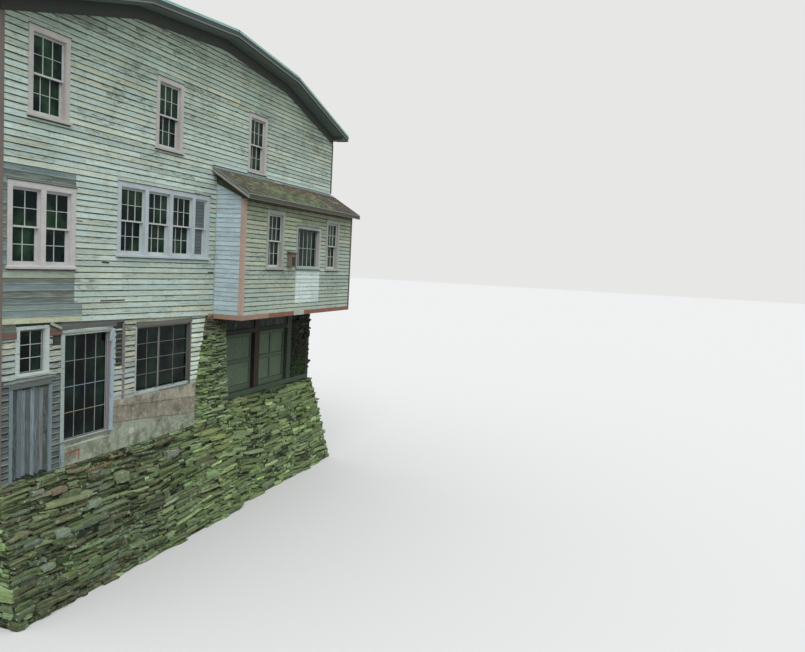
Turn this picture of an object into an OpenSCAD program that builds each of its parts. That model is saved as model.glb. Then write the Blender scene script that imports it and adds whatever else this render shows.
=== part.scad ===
/* [Main block] */
// Length of the river gable wall, face to face
length = 14350; // [13150:10:15600]
// Depth of the main block, from river wall to rear wall
depth = 11600; // [10000:50:13000]
// Thickness of the framed walls
wall_t = 200; // [160:5:240]
// Height of the stone foundation above the creek bed
foundation_h = 2600; // [2000:20:3200]
// Height from foundation top to the first floor
basement_h = 3100; // [3000:10:3400]
// Height from first floor to second floor
storey_h = 3000; // [2900:10:3300]
// Height of the eave walls above the second floor
knee_h = 2670; // [2620:10:3000]
// Thickness of the first and second floors
floor_t = 200; // [150:5:240]
// Depth of the siding's lower edge below the first floor, at the near corner
siding_foot = 110; // [90:5:160]
// Sag of that edge from the near corner to the pier
siding_sag = 140; // [80:5:150]

/* [Bow roof] */
// Rise of the outer roof slopes, per unit of run
outer_pitch = 0.267; // [0.2:0.001:0.35]
// Rise of the inner roof slopes, per unit of run
inner_pitch = 0.091; // [0.05:0.001:0.15]
// Run of each inner slope, from ridge to break
inner_run = 3555; // [3000:5:4200]
// Thickness of the roof, measured upright
roof_t = 190; // [140:5:240]
// Overhang of the roof past the eave walls
eave_out = 410; // [300:10:600]
// Overhang of the roof past the gable walls
rake_out = 390; // [300:10:600]
// Depth of the frieze boards under the roof
frieze_h = 300; // [200:10:340]

/* [Stonework] */
// Thickness of the foundation walls at the top
foundation_t = 600; // [500:10:800]
// Outward batter of the river foundation, top to bottom
batter = 520; // [300:10:700]
// Width of the stone pier at its head
pier_w = 930; // [800:10:1100]
// Extra width of the pier on each side at its foot
pier_flare = 300; // [200:10:400]
// Height of the concrete infill under the wide window
concrete_h = 1130; // [1000:10:1200]

/* [Jetty] */
// Distance from the near corner to the jetty
jetty_x = 7010; // [6910:10:7400]
// Projection of the jetty past the river wall
jetty_out = 850; // [700:10:1000]
// Drop of the jetty floor trim below the first floor
jetty_drop = 350; // [300:10:420]
// Thickness of the jetty walls
jetty_wall_t = 140; // [110:5:180]
// Height of the jetty roof top at the wall, above the first floor
jetty_head = 3630; // [3500:10:3650]
// Rise of the jetty roof, per unit of run
jetty_pitch = 0.62; // [0.6:0.01:0.8]
// Thickness of the jetty roof, measured upright
jetty_roof_t = 125; // [110:5:200]
// Overhang of the jetty roof past its front and near walls
jetty_eave = 250; // [150:10:300]
// Overhang of the jetty roof past its far wall
jetty_far_eave = 150; // [100:10:250]

/* [Wagon bay] */
// Recess of the bay doors behind the river wall
bay_in = 600; // [500:10:700]
// Height of the bay door sill above the foundation
bay_sill = 350; // [250:10:450]
// Height of each bay door leaf
bay_door_h = 1740; // [1600:10:1800]
// Width of the near bay door leaf
near_leaf_w = 1960; // [1800:10:2050]
// Width of the far bay door leaf
far_leaf_w = 1900; // [1800:10:2000]
// Thickness of the bay door leaves
bay_leaf_t = 60; // [50:2:80]

/* [Plank door] */
// Width of the plank door leaf
door_w = 880; // [760:10:920]
// Height of the plank door leaf
door_h = 1760; // [1700:10:1800]
// Thickness of the plank door leaf
door_t = 45; // [40:1:60]
// Gap round every moving door leaf
door_gap = 8; // [6:1:12]

/* [Windows] */
// Outer width of a common window casing
win_w = 1040; // [960:10:1100]
// Outer height of a common window casing
win_h = 1650; // [1550:10:1700]
// Width of the casing boards
casing_w = 110; // [90:5:130]
// Thickness of the casing boards
casing_t = 28; // [20:1:40]
// Height of the window sills
sill_h = 60; // [45:5:80]
// Projection of the window sills past the wall
sill_out = 75; // [50:5:100]
// Width of sash stiles and top rails
sash_w = 38; // [34:2:60]
// Thickness of each sash
sash_t = 36; // [30:1:42]
// Thickness of the glass
glass_t = 5; // [3:1:8]

/* [Hidden] */
$fn = 48;
tiny = 1;

// Levels
base_z = foundation_h;
first_z = base_z + basement_h;
second_z = first_z + storey_h;
eave_z = second_z + knee_h;
main_sill_z = first_z - floor_t;

// Level of the siding's lower edge along the river wall, which has sagged towards the pier
pier_x = 6710;
function foot_z(x) = first_z - siding_foot - siding_sag * min(x, pier_x) / pier_x;

// Whole outline, used to centre the part on its own footprint
rake_board_t = 30;
jetty_eave_y = jetty_out + jetty_eave;
front_reach = max(jetty_eave_y, rake_out + rake_board_t);
rear_reach = rake_out + rake_board_t;
centre_y = (depth + rear_reach - front_reach) / 2;

// Height of the underside of the bow roof at a distance along the gable
function from_eave(x) = min(x, length - x);
function outer_run() = length / 2 - inner_run;
function under_z(x) = eave_z + outer_pitch * min(from_eave(x), outer_run())
  + inner_pitch * max(0, from_eave(x) - outer_run());
breaks = [0, outer_run(), length / 2, length - outer_run(), length];

// Hairline left between sloping faces that rest on each other
seat = 0.3;

// Jetty levels
jetty_end = length;
jetty_base_z = first_z - jetty_drop;
function jetty_top_z(out) = first_z + jetty_head - jetty_pitch * out;
function jetty_under_z(out) = jetty_top_z(out) - jetty_roof_t;
jetty_frieze_h = 150;

// Bay layout, from the pier to the far corner
post_w = 320;
near_leaf_x = 8450;
far_leaf_x = near_leaf_x + near_leaf_w + post_w;
bay_post_t = 180;
bay_y = bay_in;
bay_side = 400;
bay_start = pier_x + bay_side;
corner_post_w = 200;

// Plank door layout
door_x = 370;
frame_w = 80;
frame_h = 100;

// The basement wall stands back under the siding
basement_in = 40;
basement_t = wall_t - basement_in;

// Windows of the river side: casing corner, width, height and the sashes in each
upper_win_x = [615, 4375, 8550];
upper_sill = 700;
corner_w = 70;
sill_ear = 30;
pair_gap = 100;
pair_x = corner_w + pair_gap;
pair_w = 1700;
pair_h = 1600;
pair_sill = 900;
band_x = 3120;
band_w = 3560;
band_h = 1630;
band_sill = 1190;
band_units = [780, 780, 780, 510];
mullion_w = 125;
jetty_win_h = 1660;
jetty_win_sill = 1000;
fixed_w = 1710;
fixed_casing = 75;
fixed_h = 1300;
fixed_sill = 1030;

// The jetty windows share out the wall that is left over between them
jetty_spare = length - jetty_x - 2 * win_w - fixed_w;
near_space = round(jetty_spare * 0.341);
box_space = round(jetty_spare * 0.228);
far_space = round(jetty_spare * 0.124);
fixed_x = jetty_x + near_space + win_w + box_space;
jetty_win_x = [jetty_x + near_space, fixed_x + fixed_w + far_space];

// Basement windows: opening corner and size
small_x = 520;
small_w = 640;
small_h = 850;
small_drop = 240;
small_z = basement_h - small_drop - small_h;
tall_x = 1670;
tall_w = 1330;
tall_z = 500;
tall_drop = 390;
tall_h = basement_h - tall_drop - tall_z;
basement_sill_h = 40;
wide_x = 3910;
wide_w = 2100;
wide_z = concrete_h + basement_sill_h;
wide_drop = 400;
wide_h = basement_h - wide_drop - wide_z;
wide_split = 880;
basement_casing = 95;
basement_head = 60;
thin_casing = 45;

// Hidden sides repeat the common window
rear_win_x = [1555, 6655, 11755];
side_win_y = [1900, 5300, 8700];
lower_sill = 900;
hidden_levels = [first_z + lower_sill, second_z + upper_sill];
small_inset = (win_w - small_w) / 2;

// Places the local frame, whose corner is the near end of the river wall, on the footprint
module place() {
  translate([-length / 2, -centre_y, 0]) children();
}

// Draws an outline of the gable plane, pushed from y0 to y1
module gable_plate(points, y0, y1) {
  translate([0, y1, 0]) rotate([90, 0, 0]) linear_extrude(y1 - y0) polygon(points);
}

// Draws an outline of the side plane, pushed from x0 to x1
module side_plate(points, x0, x1) {
  translate([x0, 0, 0]) rotate([90, 0, 90]) linear_extrude(x1 - x0) polygon(points);
}

// Turns a piece drawn on the river wall so that it stands on another wall
module on_rear() {
  translate([length, depth, 0]) rotate([0, 0, 180]) children();
}
module on_left() {
  translate([0, depth, 0]) rotate([0, 0, -90]) children();
}
module on_right() {
  translate([length, 0, 0]) rotate([0, 0, 90]) children();
}

// The hole of a cased window, through a wall whose face is at y0
module window_hole(x, z, w, h, t = wall_t, y0 = 0, side = casing_w) {
  translate([x + side, y0 - tiny, z + sill_h]) cube([w - 2 * side, t + 2 * tiny, h - side - sill_h]);
}

// A flat frame of boards, w by h outside, with side, top and bottom boards of their own width
module board_frame(w, h, side, top, bottom, t) {
  difference() {
    cube([w, t, h]);
    translate([side, -tiny, bottom]) cube([w - 2 * side, t + 2 * tiny, h - top - bottom]);
  }
}

// Sashes: rails, the bead that parts the two, and the depth of the outer one in the wall
meeting_rail_h = 34;
bottom_rail_h = 60;
parting_t = 18;
sash_y = 30;

// Two sashes in one opening: the upper one outside, the lower one behind the parting beads
function meet_z(h) = (h - meeting_rail_h) / 2;
module sash_pair(w, h, y) {
  translate([0, y, meet_z(h)])
    board_frame(w, h - meet_z(h), sash_w, sash_w, meeting_rail_h, sash_t);
  translate([0, y + sash_t + parting_t, 0])
    board_frame(w, meet_z(h) + meeting_rail_h, sash_w, meeting_rail_h, bottom_rail_h, sash_t);
}

// The glass of those two sashes
module sash_glass(w, h, y) {
  lap = (sash_t - glass_t) / 2;
  upper_z = meet_z(h) + meeting_rail_h;
  translate([sash_w, y + lap, upper_z]) cube([w - 2 * sash_w, glass_t, h - sash_w - upper_z]);
  translate([sash_w, y + sash_t + parting_t + lap, bottom_rail_h])
    cube([w - 2 * sash_w, glass_t, meet_z(h) - bottom_rail_h]);
}

// The lining stands forward between the casing boards; the sill slopes from there
jamb_t = 15;
jamb_out = 14;
sill_slope = 18;
casing_dip = 10;

// Casing, head, sloping sill and jamb lining of one window opening
module window_surround(w, h, t, mullions = [], side = casing_w) {
  open_w = w - 2 * side;
  open_h = h - side - sill_h;
  // casing boards on the face of the wall, let into the sill
  translate([0, -casing_t, sill_h]) difference() {
    translate([0, 0, -casing_dip]) cube([w, casing_t, h - sill_h + casing_dip]);
    translate([side, -tiny, -casing_dip - tiny])
      cube([open_w, casing_t + 2 * tiny, open_h + casing_dip + tiny]);
  }
  // sloping sill with its ears
  translate([-sill_ear, 0, 0]) rotate([90, 0, 90]) linear_extrude(w + 2 * sill_ear)
    polygon([[-sill_out, 0], [0, 0], [0, sill_h], [-jamb_out, sill_h], [-sill_out, sill_h - sill_slope]]);
  // lining of the opening
  translate([side, -jamb_out, sill_h]) board_frame(open_w, open_h, jamb_t, jamb_t, jamb_t, t + jamb_out);
  // posts between sashes
  for (m = mullions)
    translate([m, -casing_t, sill_h]) cube([mullion_w, casing_t + t, open_h]);
}

// Clear width and height between the linings
function clear_w(w, side = casing_w) = w - 2 * side - 2 * jamb_t;
function clear_h(h, side = casing_w) = h - side - sill_h - 2 * jamb_t;

module common_window(w, h, t = wall_t) {
  window_surround(w, h, t);
  translate([casing_w + jamb_t, 0, sill_h + jamb_t]) sash_pair(clear_w(w), clear_h(h), sash_y);
}
module common_glass(w, h) {
  translate([casing_w + jamb_t, 0, sill_h + jamb_t]) sash_glass(clear_w(w), clear_h(h), sash_y);
}

// Widths and places of the sashes in a window of several units
function unit_x(units, i) = i == 0 ? casing_w + jamb_t : unit_x(units, i - 1) + units[i - 1] + mullion_w;
module grouped_window(w, h, units) {
  window_surround(w, h, wall_t, [for (i = [1:len(units) - 1]) unit_x(units, i) - mullion_w]);
  for (i = [0:len(units) - 1])
    translate([unit_x(units, i), 0, sill_h + jamb_t]) sash_pair(units[i], clear_h(h), sash_y);
}
module grouped_glass(w, h, units) {
  for (i = [0:len(units) - 1])
    translate([unit_x(units, i), 0, sill_h + jamb_t]) sash_glass(units[i], clear_h(h), sash_y);
}
pair_units = [for (i = [0, 1]) (clear_w(pair_w) - mullion_w) / 2];
band_clear = clear_w(band_w) - 3 * mullion_w;
band_sum = band_units[0] + band_units[1] + band_units[2] + band_units[3];
band_fit = [for (u = band_units) u * band_clear / band_sum];

// Dry-laid river foundation, battered towards the creek, with a lower ledge at the bay
ledge_z = base_z + 200;
bay_batter_share = 0.7;
// Slabs that slope up to the ledge: where they start and end in front of the bay
slab_foot_out = 260;
slab_foot_drop = 300;
slab_head_out = 120;
pier_end = pier_x + pier_w + pier_flare;
module river_foundation() {
  color("dimgray") place() union() {
    side_plate([[-batter, 0], [foundation_t, 0], [foundation_t, base_z], [0, base_z]], 0, pier_end);
    side_plate([[-batter * bay_batter_share, 0], [bay_y + foundation_t, 0], [bay_y + foundation_t, base_z],
      [bay_y + bay_post_t, base_z], [bay_y + bay_post_t, ledge_z], [bay_y - slab_head_out, ledge_z],
      [bay_y - slab_foot_out, base_z - slab_foot_drop]], pier_end, length);
    // footing of the bay framing behind the pier
    side_plate([[bay_y, 0], [bay_y + foundation_t, 0], [bay_y + foundation_t, base_z],
      [bay_y + bay_post_t, base_z], [bay_y + bay_post_t, ledge_z], [bay_y, ledge_z]], bay_start, pier_end);
  }
}

// Foundation of the other three sides, one mass of masonry
module rear_foundation() {
  color("dimgray") place() difference() {
    translate([0, foundation_t, 0]) cube([length, depth - foundation_t, base_z]);
    translate([foundation_t, -tiny, -tiny])
      cube([length - 2 * foundation_t, depth - foundation_t + tiny, base_z + 2 * tiny]);
    translate([length - foundation_t - tiny, 0, -tiny])
      cube([foundation_t + 2 * tiny, bay_y + foundation_t, base_z + 2 * tiny]);
  }
}

// Pier of flat stones between the window wall and the wagon bay
pier_knee_h = 1200;
pier_knee_share = 0.37;
module stone_pier() {
  step_x = jetty_x + jetty_wall_t;
  color("dimgray") place()
    gable_plate([[pier_x, foot_z(pier_x)], [pier_x, base_z], [pier_end, base_z],
      [pier_x + pier_w + pier_flare * pier_knee_share, base_z + pier_knee_h], [pier_x + pier_w, main_sill_z],
      [step_x, main_sill_z], [step_x, foot_z(pier_x)]], 0, bay_in);
}

// Concrete under the basement windows
concrete_x = tall_x - basement_casing;
concrete_step_x = tall_x + tall_w + basement_casing;
concrete_out = 25;
module concrete_infill() {
  color("tan") place() translate([0, basement_in, 0])
    gable_plate([[concrete_x, base_z], [pier_x, base_z], [pier_x, base_z + concrete_h],
      [concrete_step_x, base_z + concrete_h], [concrete_step_x, base_z + tall_z - basement_sill_h],
      [concrete_x, base_z + tall_z - basement_sill_h]], -concrete_out, basement_t);
}

// Flagged floor inside the foundation walls
flag_t = 120;
module basement_floor() {
  color("gray") place() difference() {
    translate([foundation_t, foundation_t, base_z - flag_t])
      cube([length - 2 * foundation_t, depth - 2 * foundation_t, flag_t]);
    translate([bay_start, 0, base_z - flag_t - tiny])
      cube([length, bay_y + foundation_t, flag_t + 2 * tiny]);
  }
}

// A stretch of the basement wall, from a level up to the sloping foot of the river wall
module basement_wall(x0, x1, z0) {
  gable_plate([[x0, z0], [x1, z0], [x1, foot_z(x1) - seat], [x0, foot_z(x0) - seat]], basement_in, wall_t);
}

// The hole of a basement window and its sill
module basement_hole(x, z, w, h) {
  translate([x, 0, base_z + z - basement_sill_h]) cube([w, wall_t + tiny, h + basement_sill_h]);
}

// Basement wall beside the near corner, left of the plank door
module basement_corner_wall() {
  color("lightsteelblue") place() basement_wall(0, door_x - frame_w, base_z);
}

// Basement wall over the plank door, with its small window
door_open_w = door_w + 2 * door_gap;
door_open_h = door_h + 2 * door_gap;
door_end = door_x + door_open_w + frame_w;
door_head_z = base_z + door_h + frame_h;
module basement_wall_over_door() {
  color("lightsteelblue") place() difference() {
    basement_wall(door_x - frame_w, door_end, door_head_z);
    basement_hole(small_x, small_z, small_w, small_h);
  }
}

// Basement wall with the tall and the wide window, over the concrete
module basement_window_wall() {
  color("lightsteelblue") place() difference() {
    basement_wall(door_end, pier_x, base_z);
    translate([concrete_x, 0, base_z - tiny])
      cube([concrete_step_x - concrete_x, wall_t + tiny, tall_z - basement_sill_h + tiny]);
    translate([concrete_step_x - tiny, 0, base_z - tiny])
      cube([pier_x, wall_t + tiny, concrete_h + tiny]);
    basement_hole(tall_x, tall_z, tall_w, tall_h);
    basement_hole(wide_x, wide_z, wide_w, wide_h);
  }
}

// Posts, sill beam and head rail round the bay doors
bay_post_x = [near_leaf_x - post_w, near_leaf_x + near_leaf_w, far_leaf_x + far_leaf_w];
leaf_base_z = base_z + bay_sill;
bay_head_z = leaf_base_z + bay_door_h + 2 * door_gap;
bay_head_h = 130;
bay_plate_w = 70;
module bay_framing() {
  color("saddlebrown") place() union() {
    translate([bay_start, bay_y, ledge_z]) cube([length - bay_start, bay_post_t, leaf_base_z - ledge_z]);
    translate([bay_start, bay_y, bay_head_z]) cube([length - bay_start, bay_post_t, bay_head_h]);
    for (x = bay_post_x)
      translate([x + door_gap, bay_y, leaf_base_z - tiny])
        cube([post_w - 2 * door_gap, bay_post_t, main_sill_z - leaf_base_z + tiny]);
    translate([length - corner_post_w, bay_y, leaf_base_z - tiny])
      cube([corner_post_w, bay_post_t, main_sill_z - leaf_base_z + tiny]);
    at_near_hinges() plate_pintle(bay_plate_w);
    at_far_hinges() plate_pintle(bay_plate_w);
  }
}

// Boards that close the bay over the doors and beside them
bay_board_t = 60;
module bay_board(x0, x1, z0, z1) {
  translate([x0, bay_y + (bay_post_t - bay_board_t) / 2, z0]) cube([x1 - x0, bay_board_t, z1 - z0]);
}
module bay_boarding() {
  over_z = bay_head_z + bay_head_h;
  // from one post to the next: pier side, near door, far door, far corner
  stops = [bay_start, bay_post_x[0] + door_gap, bay_post_x[0] + post_w - door_gap,
    bay_post_x[1] + door_gap, bay_post_x[1] + post_w - door_gap, bay_post_x[2] + door_gap,
    bay_post_x[2] + post_w - door_gap, length - corner_post_w];
  color("darkslategray") place() {
    for (i = [0:2:6]) bay_board(stops[i], stops[i + 1], over_z, main_sill_z);
    for (i = [0, 6]) bay_board(stops[i], stops[i + 1], leaf_base_z, bay_head_z);
  }
}

module first_floor() {
  color("peru") place() difference() {
    translate([wall_t, 0, main_sill_z]) cube([length - 2 * wall_t, depth - wall_t, floor_t]);
    translate([0, -tiny, main_sill_z - tiny])
      cube([jetty_x + jetty_wall_t, wall_t + tiny, floor_t + 2 * tiny]);
  }
}
module second_floor() {
  color("peru") place()
    translate([wall_t, wall_t, second_z - floor_t]) cube([length - 2 * wall_t, depth - 2 * wall_t, floor_t]);
}

// River wall of the first storey, up to the jetty
module river_wall_lower() {
  end_x = jetty_x + jetty_wall_t;
  color("lightsteelblue") place() difference() {
    gable_plate([[0, foot_z(0)], [pier_x, foot_z(pier_x)], [end_x, foot_z(end_x)], [end_x, second_z],
      [0, second_z]], 0, wall_t);
    window_hole(pair_x, first_z + pair_sill, pair_w, pair_h);
    window_hole(band_x, first_z + band_sill, band_w, band_h);
  }
}

// River wall of the second storey and gable; over the jetty it hangs lower, as its header
jetty_header = 500;
module river_wall_upper() {
  color("lightsteelblue") place() difference() {
    gable_plate(concat([for (x = breaks) [x, under_z(x)]],
      [[length, second_z - jetty_header], [jetty_x + jetty_wall_t, second_z - jetty_header],
       [jetty_x + jetty_wall_t, second_z], [0, second_z]]), 0, wall_t);
    for (x = upper_win_x) window_hole(x, second_z + upper_sill, win_w, win_h);
  }
}

// Eave walls, full height, with their tops cut to the roof slope
module eave_wall_blank() {
  translate([0, depth - wall_t, 0]) rotate([90, 0, 0]) linear_extrude(depth - 2 * wall_t)
    polygon([[0, base_z], [wall_t, base_z], [wall_t, under_z(wall_t)], [0, under_z(0)]]);
}
module hidden_holes(stations) {
  for (x = stations) {
    for (z = hidden_levels) window_hole(x, z, win_w, win_h);
    translate([x + small_inset, -tiny, base_z + small_z - basement_sill_h])
      cube([small_w, wall_t + 2 * tiny, small_h + basement_sill_h]);
  }
}
module left_wall() {
  color("lightsteelblue") place() difference() {
    eave_wall_blank();
    on_left() hidden_holes(side_win_y);
  }
}
module right_wall() {
  color("lightsteelblue") place() difference() {
    union() {
      translate([length, 0, 0]) mirror([1, 0, 0]) eave_wall_blank();
      translate([length - wall_t, 0, foot_z(length)])
        cube([wall_t, wall_t + tiny, second_z - jetty_header - foot_z(length)]);
    }
    on_right() hidden_holes(side_win_y);
    translate([length - wall_t - tiny, 0, base_z - tiny])
      cube([wall_t + 2 * tiny, bay_y + bay_post_t, foot_z(length) - base_z + tiny]);
    translate([length - wall_t - tiny, bay_y, base_z])
      cube([wall_t + 2 * tiny, bay_post_t, main_sill_z - base_z]);
  }
}
module rear_wall() {
  color("lightsteelblue") place() difference() {
    gable_plate(concat([for (x = breaks) [x, under_z(x)]], [[length, base_z], [0, base_z]]),
      depth - wall_t, depth);
    on_rear() hidden_holes(rear_win_x);
  }
}

// One flat slope of the bow roof between two stations along the gable
function soffit_z(x) = eave_z - outer_pitch * max(0, -from_eave(x));
function roof_under(x) = seat + (from_eave(x) < 0 ? soffit_z(x) : under_z(x));
module roof_slope(x0, x1) {
  gable_plate([[x0, roof_under(x0)], [x1, roof_under(x1)], [x1, roof_under(x1) + roof_t],
    [x0, roof_under(x0) + roof_t]], -rake_out, depth + rake_out);
}
module roof_left_eave_slope() {
  color("slategray") place() roof_slope(-eave_out, breaks[1]);
}
module roof_left_top_slope() {
  color("slategray") place() roof_slope(breaks[1], breaks[2]);
}
module roof_right_top_slope() {
  color("slategray") place() roof_slope(breaks[2], breaks[3]);
}
module roof_right_eave_slope() {
  color("slategray") place() roof_slope(breaks[3], length + eave_out);
}

// Boards along the gable edges of the roof
rake_drop = 12;
roof_line = concat([-eave_out], [breaks[1], breaks[2], breaks[3]], [length + eave_out]);
module rake_board(y0) {
  gable_plate(concat([for (x = roof_line) [x, roof_under(x) + roof_t - rake_drop]],
    [for (i = [4:-1:0]) [roof_line[i], roof_under(roof_line[i])]]), y0, y0 + rake_board_t);
}
module rake_boards() {
  color("rosybrown") place() {
    rake_board(-rake_out - rake_board_t);
    rake_board(depth + rake_out);
  }
}

// Level boxed undersides of the eaves
module eave_box() {
  tip = soffit_z(-eave_out);
  gable_plate([[-eave_out, tip], [0, tip], [0, eave_z]], -rake_out, depth + rake_out);
}
module eave_boxes() {
  color("rosybrown") place() {
    eave_box();
    translate([length, 0, 0]) mirror([1, 0, 0]) eave_box();
  }
}

// Frieze boards on all four walls, under the roof
frieze_t = 25;
eave_frieze_h = 180;
module frieze_boards() {
  color("saddlebrown") place() {
    for (y = [-frieze_t, depth])
      gable_plate(concat([for (x = breaks) [x, under_z(x)]],
        [for (i = [4:-1:0]) [breaks[i], under_z(breaks[i]) - frieze_h]]), y, y + frieze_t);
    for (x = [-frieze_t, length])
      translate([x, corner_w, soffit_z(-eave_out) - eave_frieze_h])
        cube([frieze_t, depth - 2 * corner_w, eave_frieze_h]);
  }
}

// Corner boards, an L round each corner; the far one starts over the jetty roof
corner_t = 25;
corner_lift = 60;
module corner_board(z0, z1) {
  translate([-corner_t, -corner_t, z0]) difference() {
    cube([corner_w + corner_t, corner_w + corner_t, z1 - z0]);
    translate([corner_t, corner_t, -tiny]) cube([corner_w + tiny, corner_w + tiny, z1 - z0 + 2 * tiny]);
  }
}
module corner_boards() {
  top = eave_z - frieze_h;
  color("rosybrown") place() {
    corner_board(base_z, top);
    translate([length, 0, 0]) mirror([1, 0, 0]) corner_board(jetty_top_z(0) + corner_lift, top);
    translate([0, depth, 0]) mirror([0, 1, 0]) corner_board(base_z, top);
    translate([length, depth, 0]) mirror([1, 0, 0]) mirror([0, 1, 0]) corner_board(base_z, top);
  }
}

// Two left-over lengths of the red band at the head of the basement wall
red_h = 100;
red_t = 22;
red_drop = 55;
module red_band() {
  color("indianred") place() translate([0, basement_in - red_t, foot_z(tall_x) - red_h - red_drop]) {
    translate([corner_w, 0, 0]) cube([small_x - basement_casing - corner_w, red_t, red_h]);
    translate([small_x + small_w + basement_casing, 0, 0])
      cube([tall_x - small_x - small_w - 2 * basement_casing, red_t, red_h]);
  }
}

// Cantilevered floor of the jetty: deck on joists that come out over the bay
joist_w = 100;
joist_gap = 800;
joist_lift = 60;
deck_t = 60;
module jetty_floor() {
  x0 = jetty_x + jetty_wall_t;
  x1 = jetty_end - jetty_wall_t;
  color("peru") place() union() {
    translate([x0, -jetty_out + jetty_wall_t, first_z - deck_t])
      cube([x1 - x0, jetty_out - jetty_wall_t, deck_t]);
    for (x = [x0:joist_gap:x1 - joist_w])
      translate([x, -jetty_out + jetty_wall_t, jetty_base_z + joist_lift])
        cube([joist_w, jetty_out - jetty_wall_t, jetty_drop - joist_lift - deck_t + tiny]);
  }
}

module jetty_front_wall() {
  y0 = -jetty_out;
  color("lightsteelblue") place() difference() {
    side_plate([[y0, jetty_base_z], [y0 + jetty_wall_t, jetty_base_z],
      [y0 + jetty_wall_t, jetty_under_z(jetty_out - jetty_wall_t)], [y0, jetty_under_z(jetty_out)]],
      jetty_x, jetty_end);
    for (x = jetty_win_x) window_hole(x, first_z + jetty_win_sill, win_w, jetty_win_h, jetty_wall_t, y0);
    window_hole(fixed_x, first_z + fixed_sill, fixed_w, fixed_h, jetty_wall_t, y0, fixed_casing);
  }
}

module jetty_side_walls() {
  y0 = -jetty_out + jetty_wall_t;
  color("lavender") place() for (x = [jetty_x, jetty_end - jetty_wall_t])
    side_plate([[y0, jetty_base_z], [0, jetty_base_z], [0, jetty_under_z(0)], [y0, jetty_under_z(-y0)]],
      x, x + jetty_wall_t);
}

jetty_roof_x = [jetty_x - jetty_eave, jetty_end + jetty_far_eave];
module jetty_slope(out, drop, x0, x1) {
  side_plate([[-out, jetty_under_z(out) + seat], [0, jetty_under_z(0) + seat],
    [0, jetty_top_z(0) - drop + seat], [-out, jetty_top_z(out) - drop + seat]], x0, x1);
}
module jetty_roof() {
  color("darkolivegreen") place()
    jetty_slope(jetty_eave_y - trim_t, 0, jetty_roof_x[0] + trim_t, jetty_roof_x[1] - trim_t);
}

// Corner boards, bottom band, rake boards and friezes of the jetty
trim_t = 22;
trim_h = 130;
jetty_corner_w = 90;
band_gap = 60;
frieze_gap = 20;
jetty_rake_drop = 15;
module jetty_trim() {
  y0 = -jetty_out;
  x0 = jetty_x;
  x1 = jetty_end;
  head = jetty_under_z(jetty_out) - jetty_frieze_h;
  color("indianred") place() {
    // bottom band, wrapped round three sides and a little along the river wall
    translate([x0 - trim_t, y0 - trim_t, jetty_base_z]) cube([x1 - x0 + 2 * trim_t, trim_t, trim_h]);
    translate([x0 - trim_t, y0 - trim_t, jetty_base_z]) cube([trim_t, jetty_out + trim_t, trim_h]);
    translate([x1, y0 - trim_t, jetty_base_z]) cube([trim_t, jetty_out + trim_t, trim_h]);
    // short run on the river wall beside the jetty, over the pier
    translate([pier_x + band_gap, -trim_t, jetty_base_z]) cube([x0 - pier_x - band_gap, trim_t, trim_h]);
    // corner boards
    corner_run = jetty_corner_w + trim_t;
    corner_rise = head - jetty_base_z + tiny;
    for (x = [x0 - trim_t, x1 - jetty_corner_w])
      translate([x, y0 - trim_t, jetty_base_z]) cube([corner_run, trim_t, corner_rise]);
    for (x = [x0 - trim_t, x1])
      translate([x, y0 - trim_t, jetty_base_z]) cube([trim_t, corner_run, corner_rise]);
    // frieze under the eave and along each side
    translate([x0 - trim_t, y0 - trim_t, head])
      cube([x1 - x0 + 2 * trim_t, trim_t, jetty_frieze_h - frieze_gap]);
    for (x = [x0 - trim_t, x1])
      side_plate([[y0, head], [y0, jetty_under_z(jetty_out)], [0, jetty_under_z(0)],
        [0, jetty_under_z(0) - 2 * jetty_frieze_h]], x, x + trim_t);
    // rake boards and fascia round the roof
    for (x = [jetty_roof_x[0], jetty_roof_x[1] - trim_t])
      jetty_slope(jetty_eave_y, jetty_rake_drop, x, x + trim_t);
    translate([jetty_roof_x[0], -jetty_eave_y, jetty_under_z(jetty_eave_y)])
      cube([jetty_roof_x[1] - jetty_roof_x[0], trim_t, jetty_roof_t]);
  }
}

module upper_windows() {
  color("gainsboro") place() for (x = upper_win_x)
    translate([x, 0, second_z + upper_sill]) common_window(win_w, win_h);
}
module pair_window() {
  color("gainsboro") place() translate([pair_x, 0, first_z + pair_sill])
    grouped_window(pair_w, pair_h, pair_units);
}
module band_window() {
  color("gainsboro") place() translate([band_x, 0, first_z + band_sill])
    grouped_window(band_w, band_h, band_fit);
}
module jetty_windows() {
  color("gainsboro") place() for (x = jetty_win_x)
    translate([x, -jetty_out, first_z + jetty_win_sill]) common_window(win_w, jetty_win_h, jetty_wall_t);
}
fixed_inset = 10;
fixed_y = jetty_wall_t - sash_t - fixed_inset;
fixed_clear_w = clear_w(fixed_w, fixed_casing);
fixed_clear_h = clear_h(fixed_h, fixed_casing);
module jetty_fixed_window() {
  color("gainsboro") place() translate([fixed_x, -jetty_out, first_z + fixed_sill]) {
    window_surround(fixed_w, fixed_h, jetty_wall_t, [], fixed_casing);
    translate([fixed_casing + jamb_t, fixed_y, sill_h + jamb_t])
      board_frame(fixed_clear_w, fixed_clear_h, sash_w, sash_w, sash_w, sash_t);
  }
}

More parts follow.
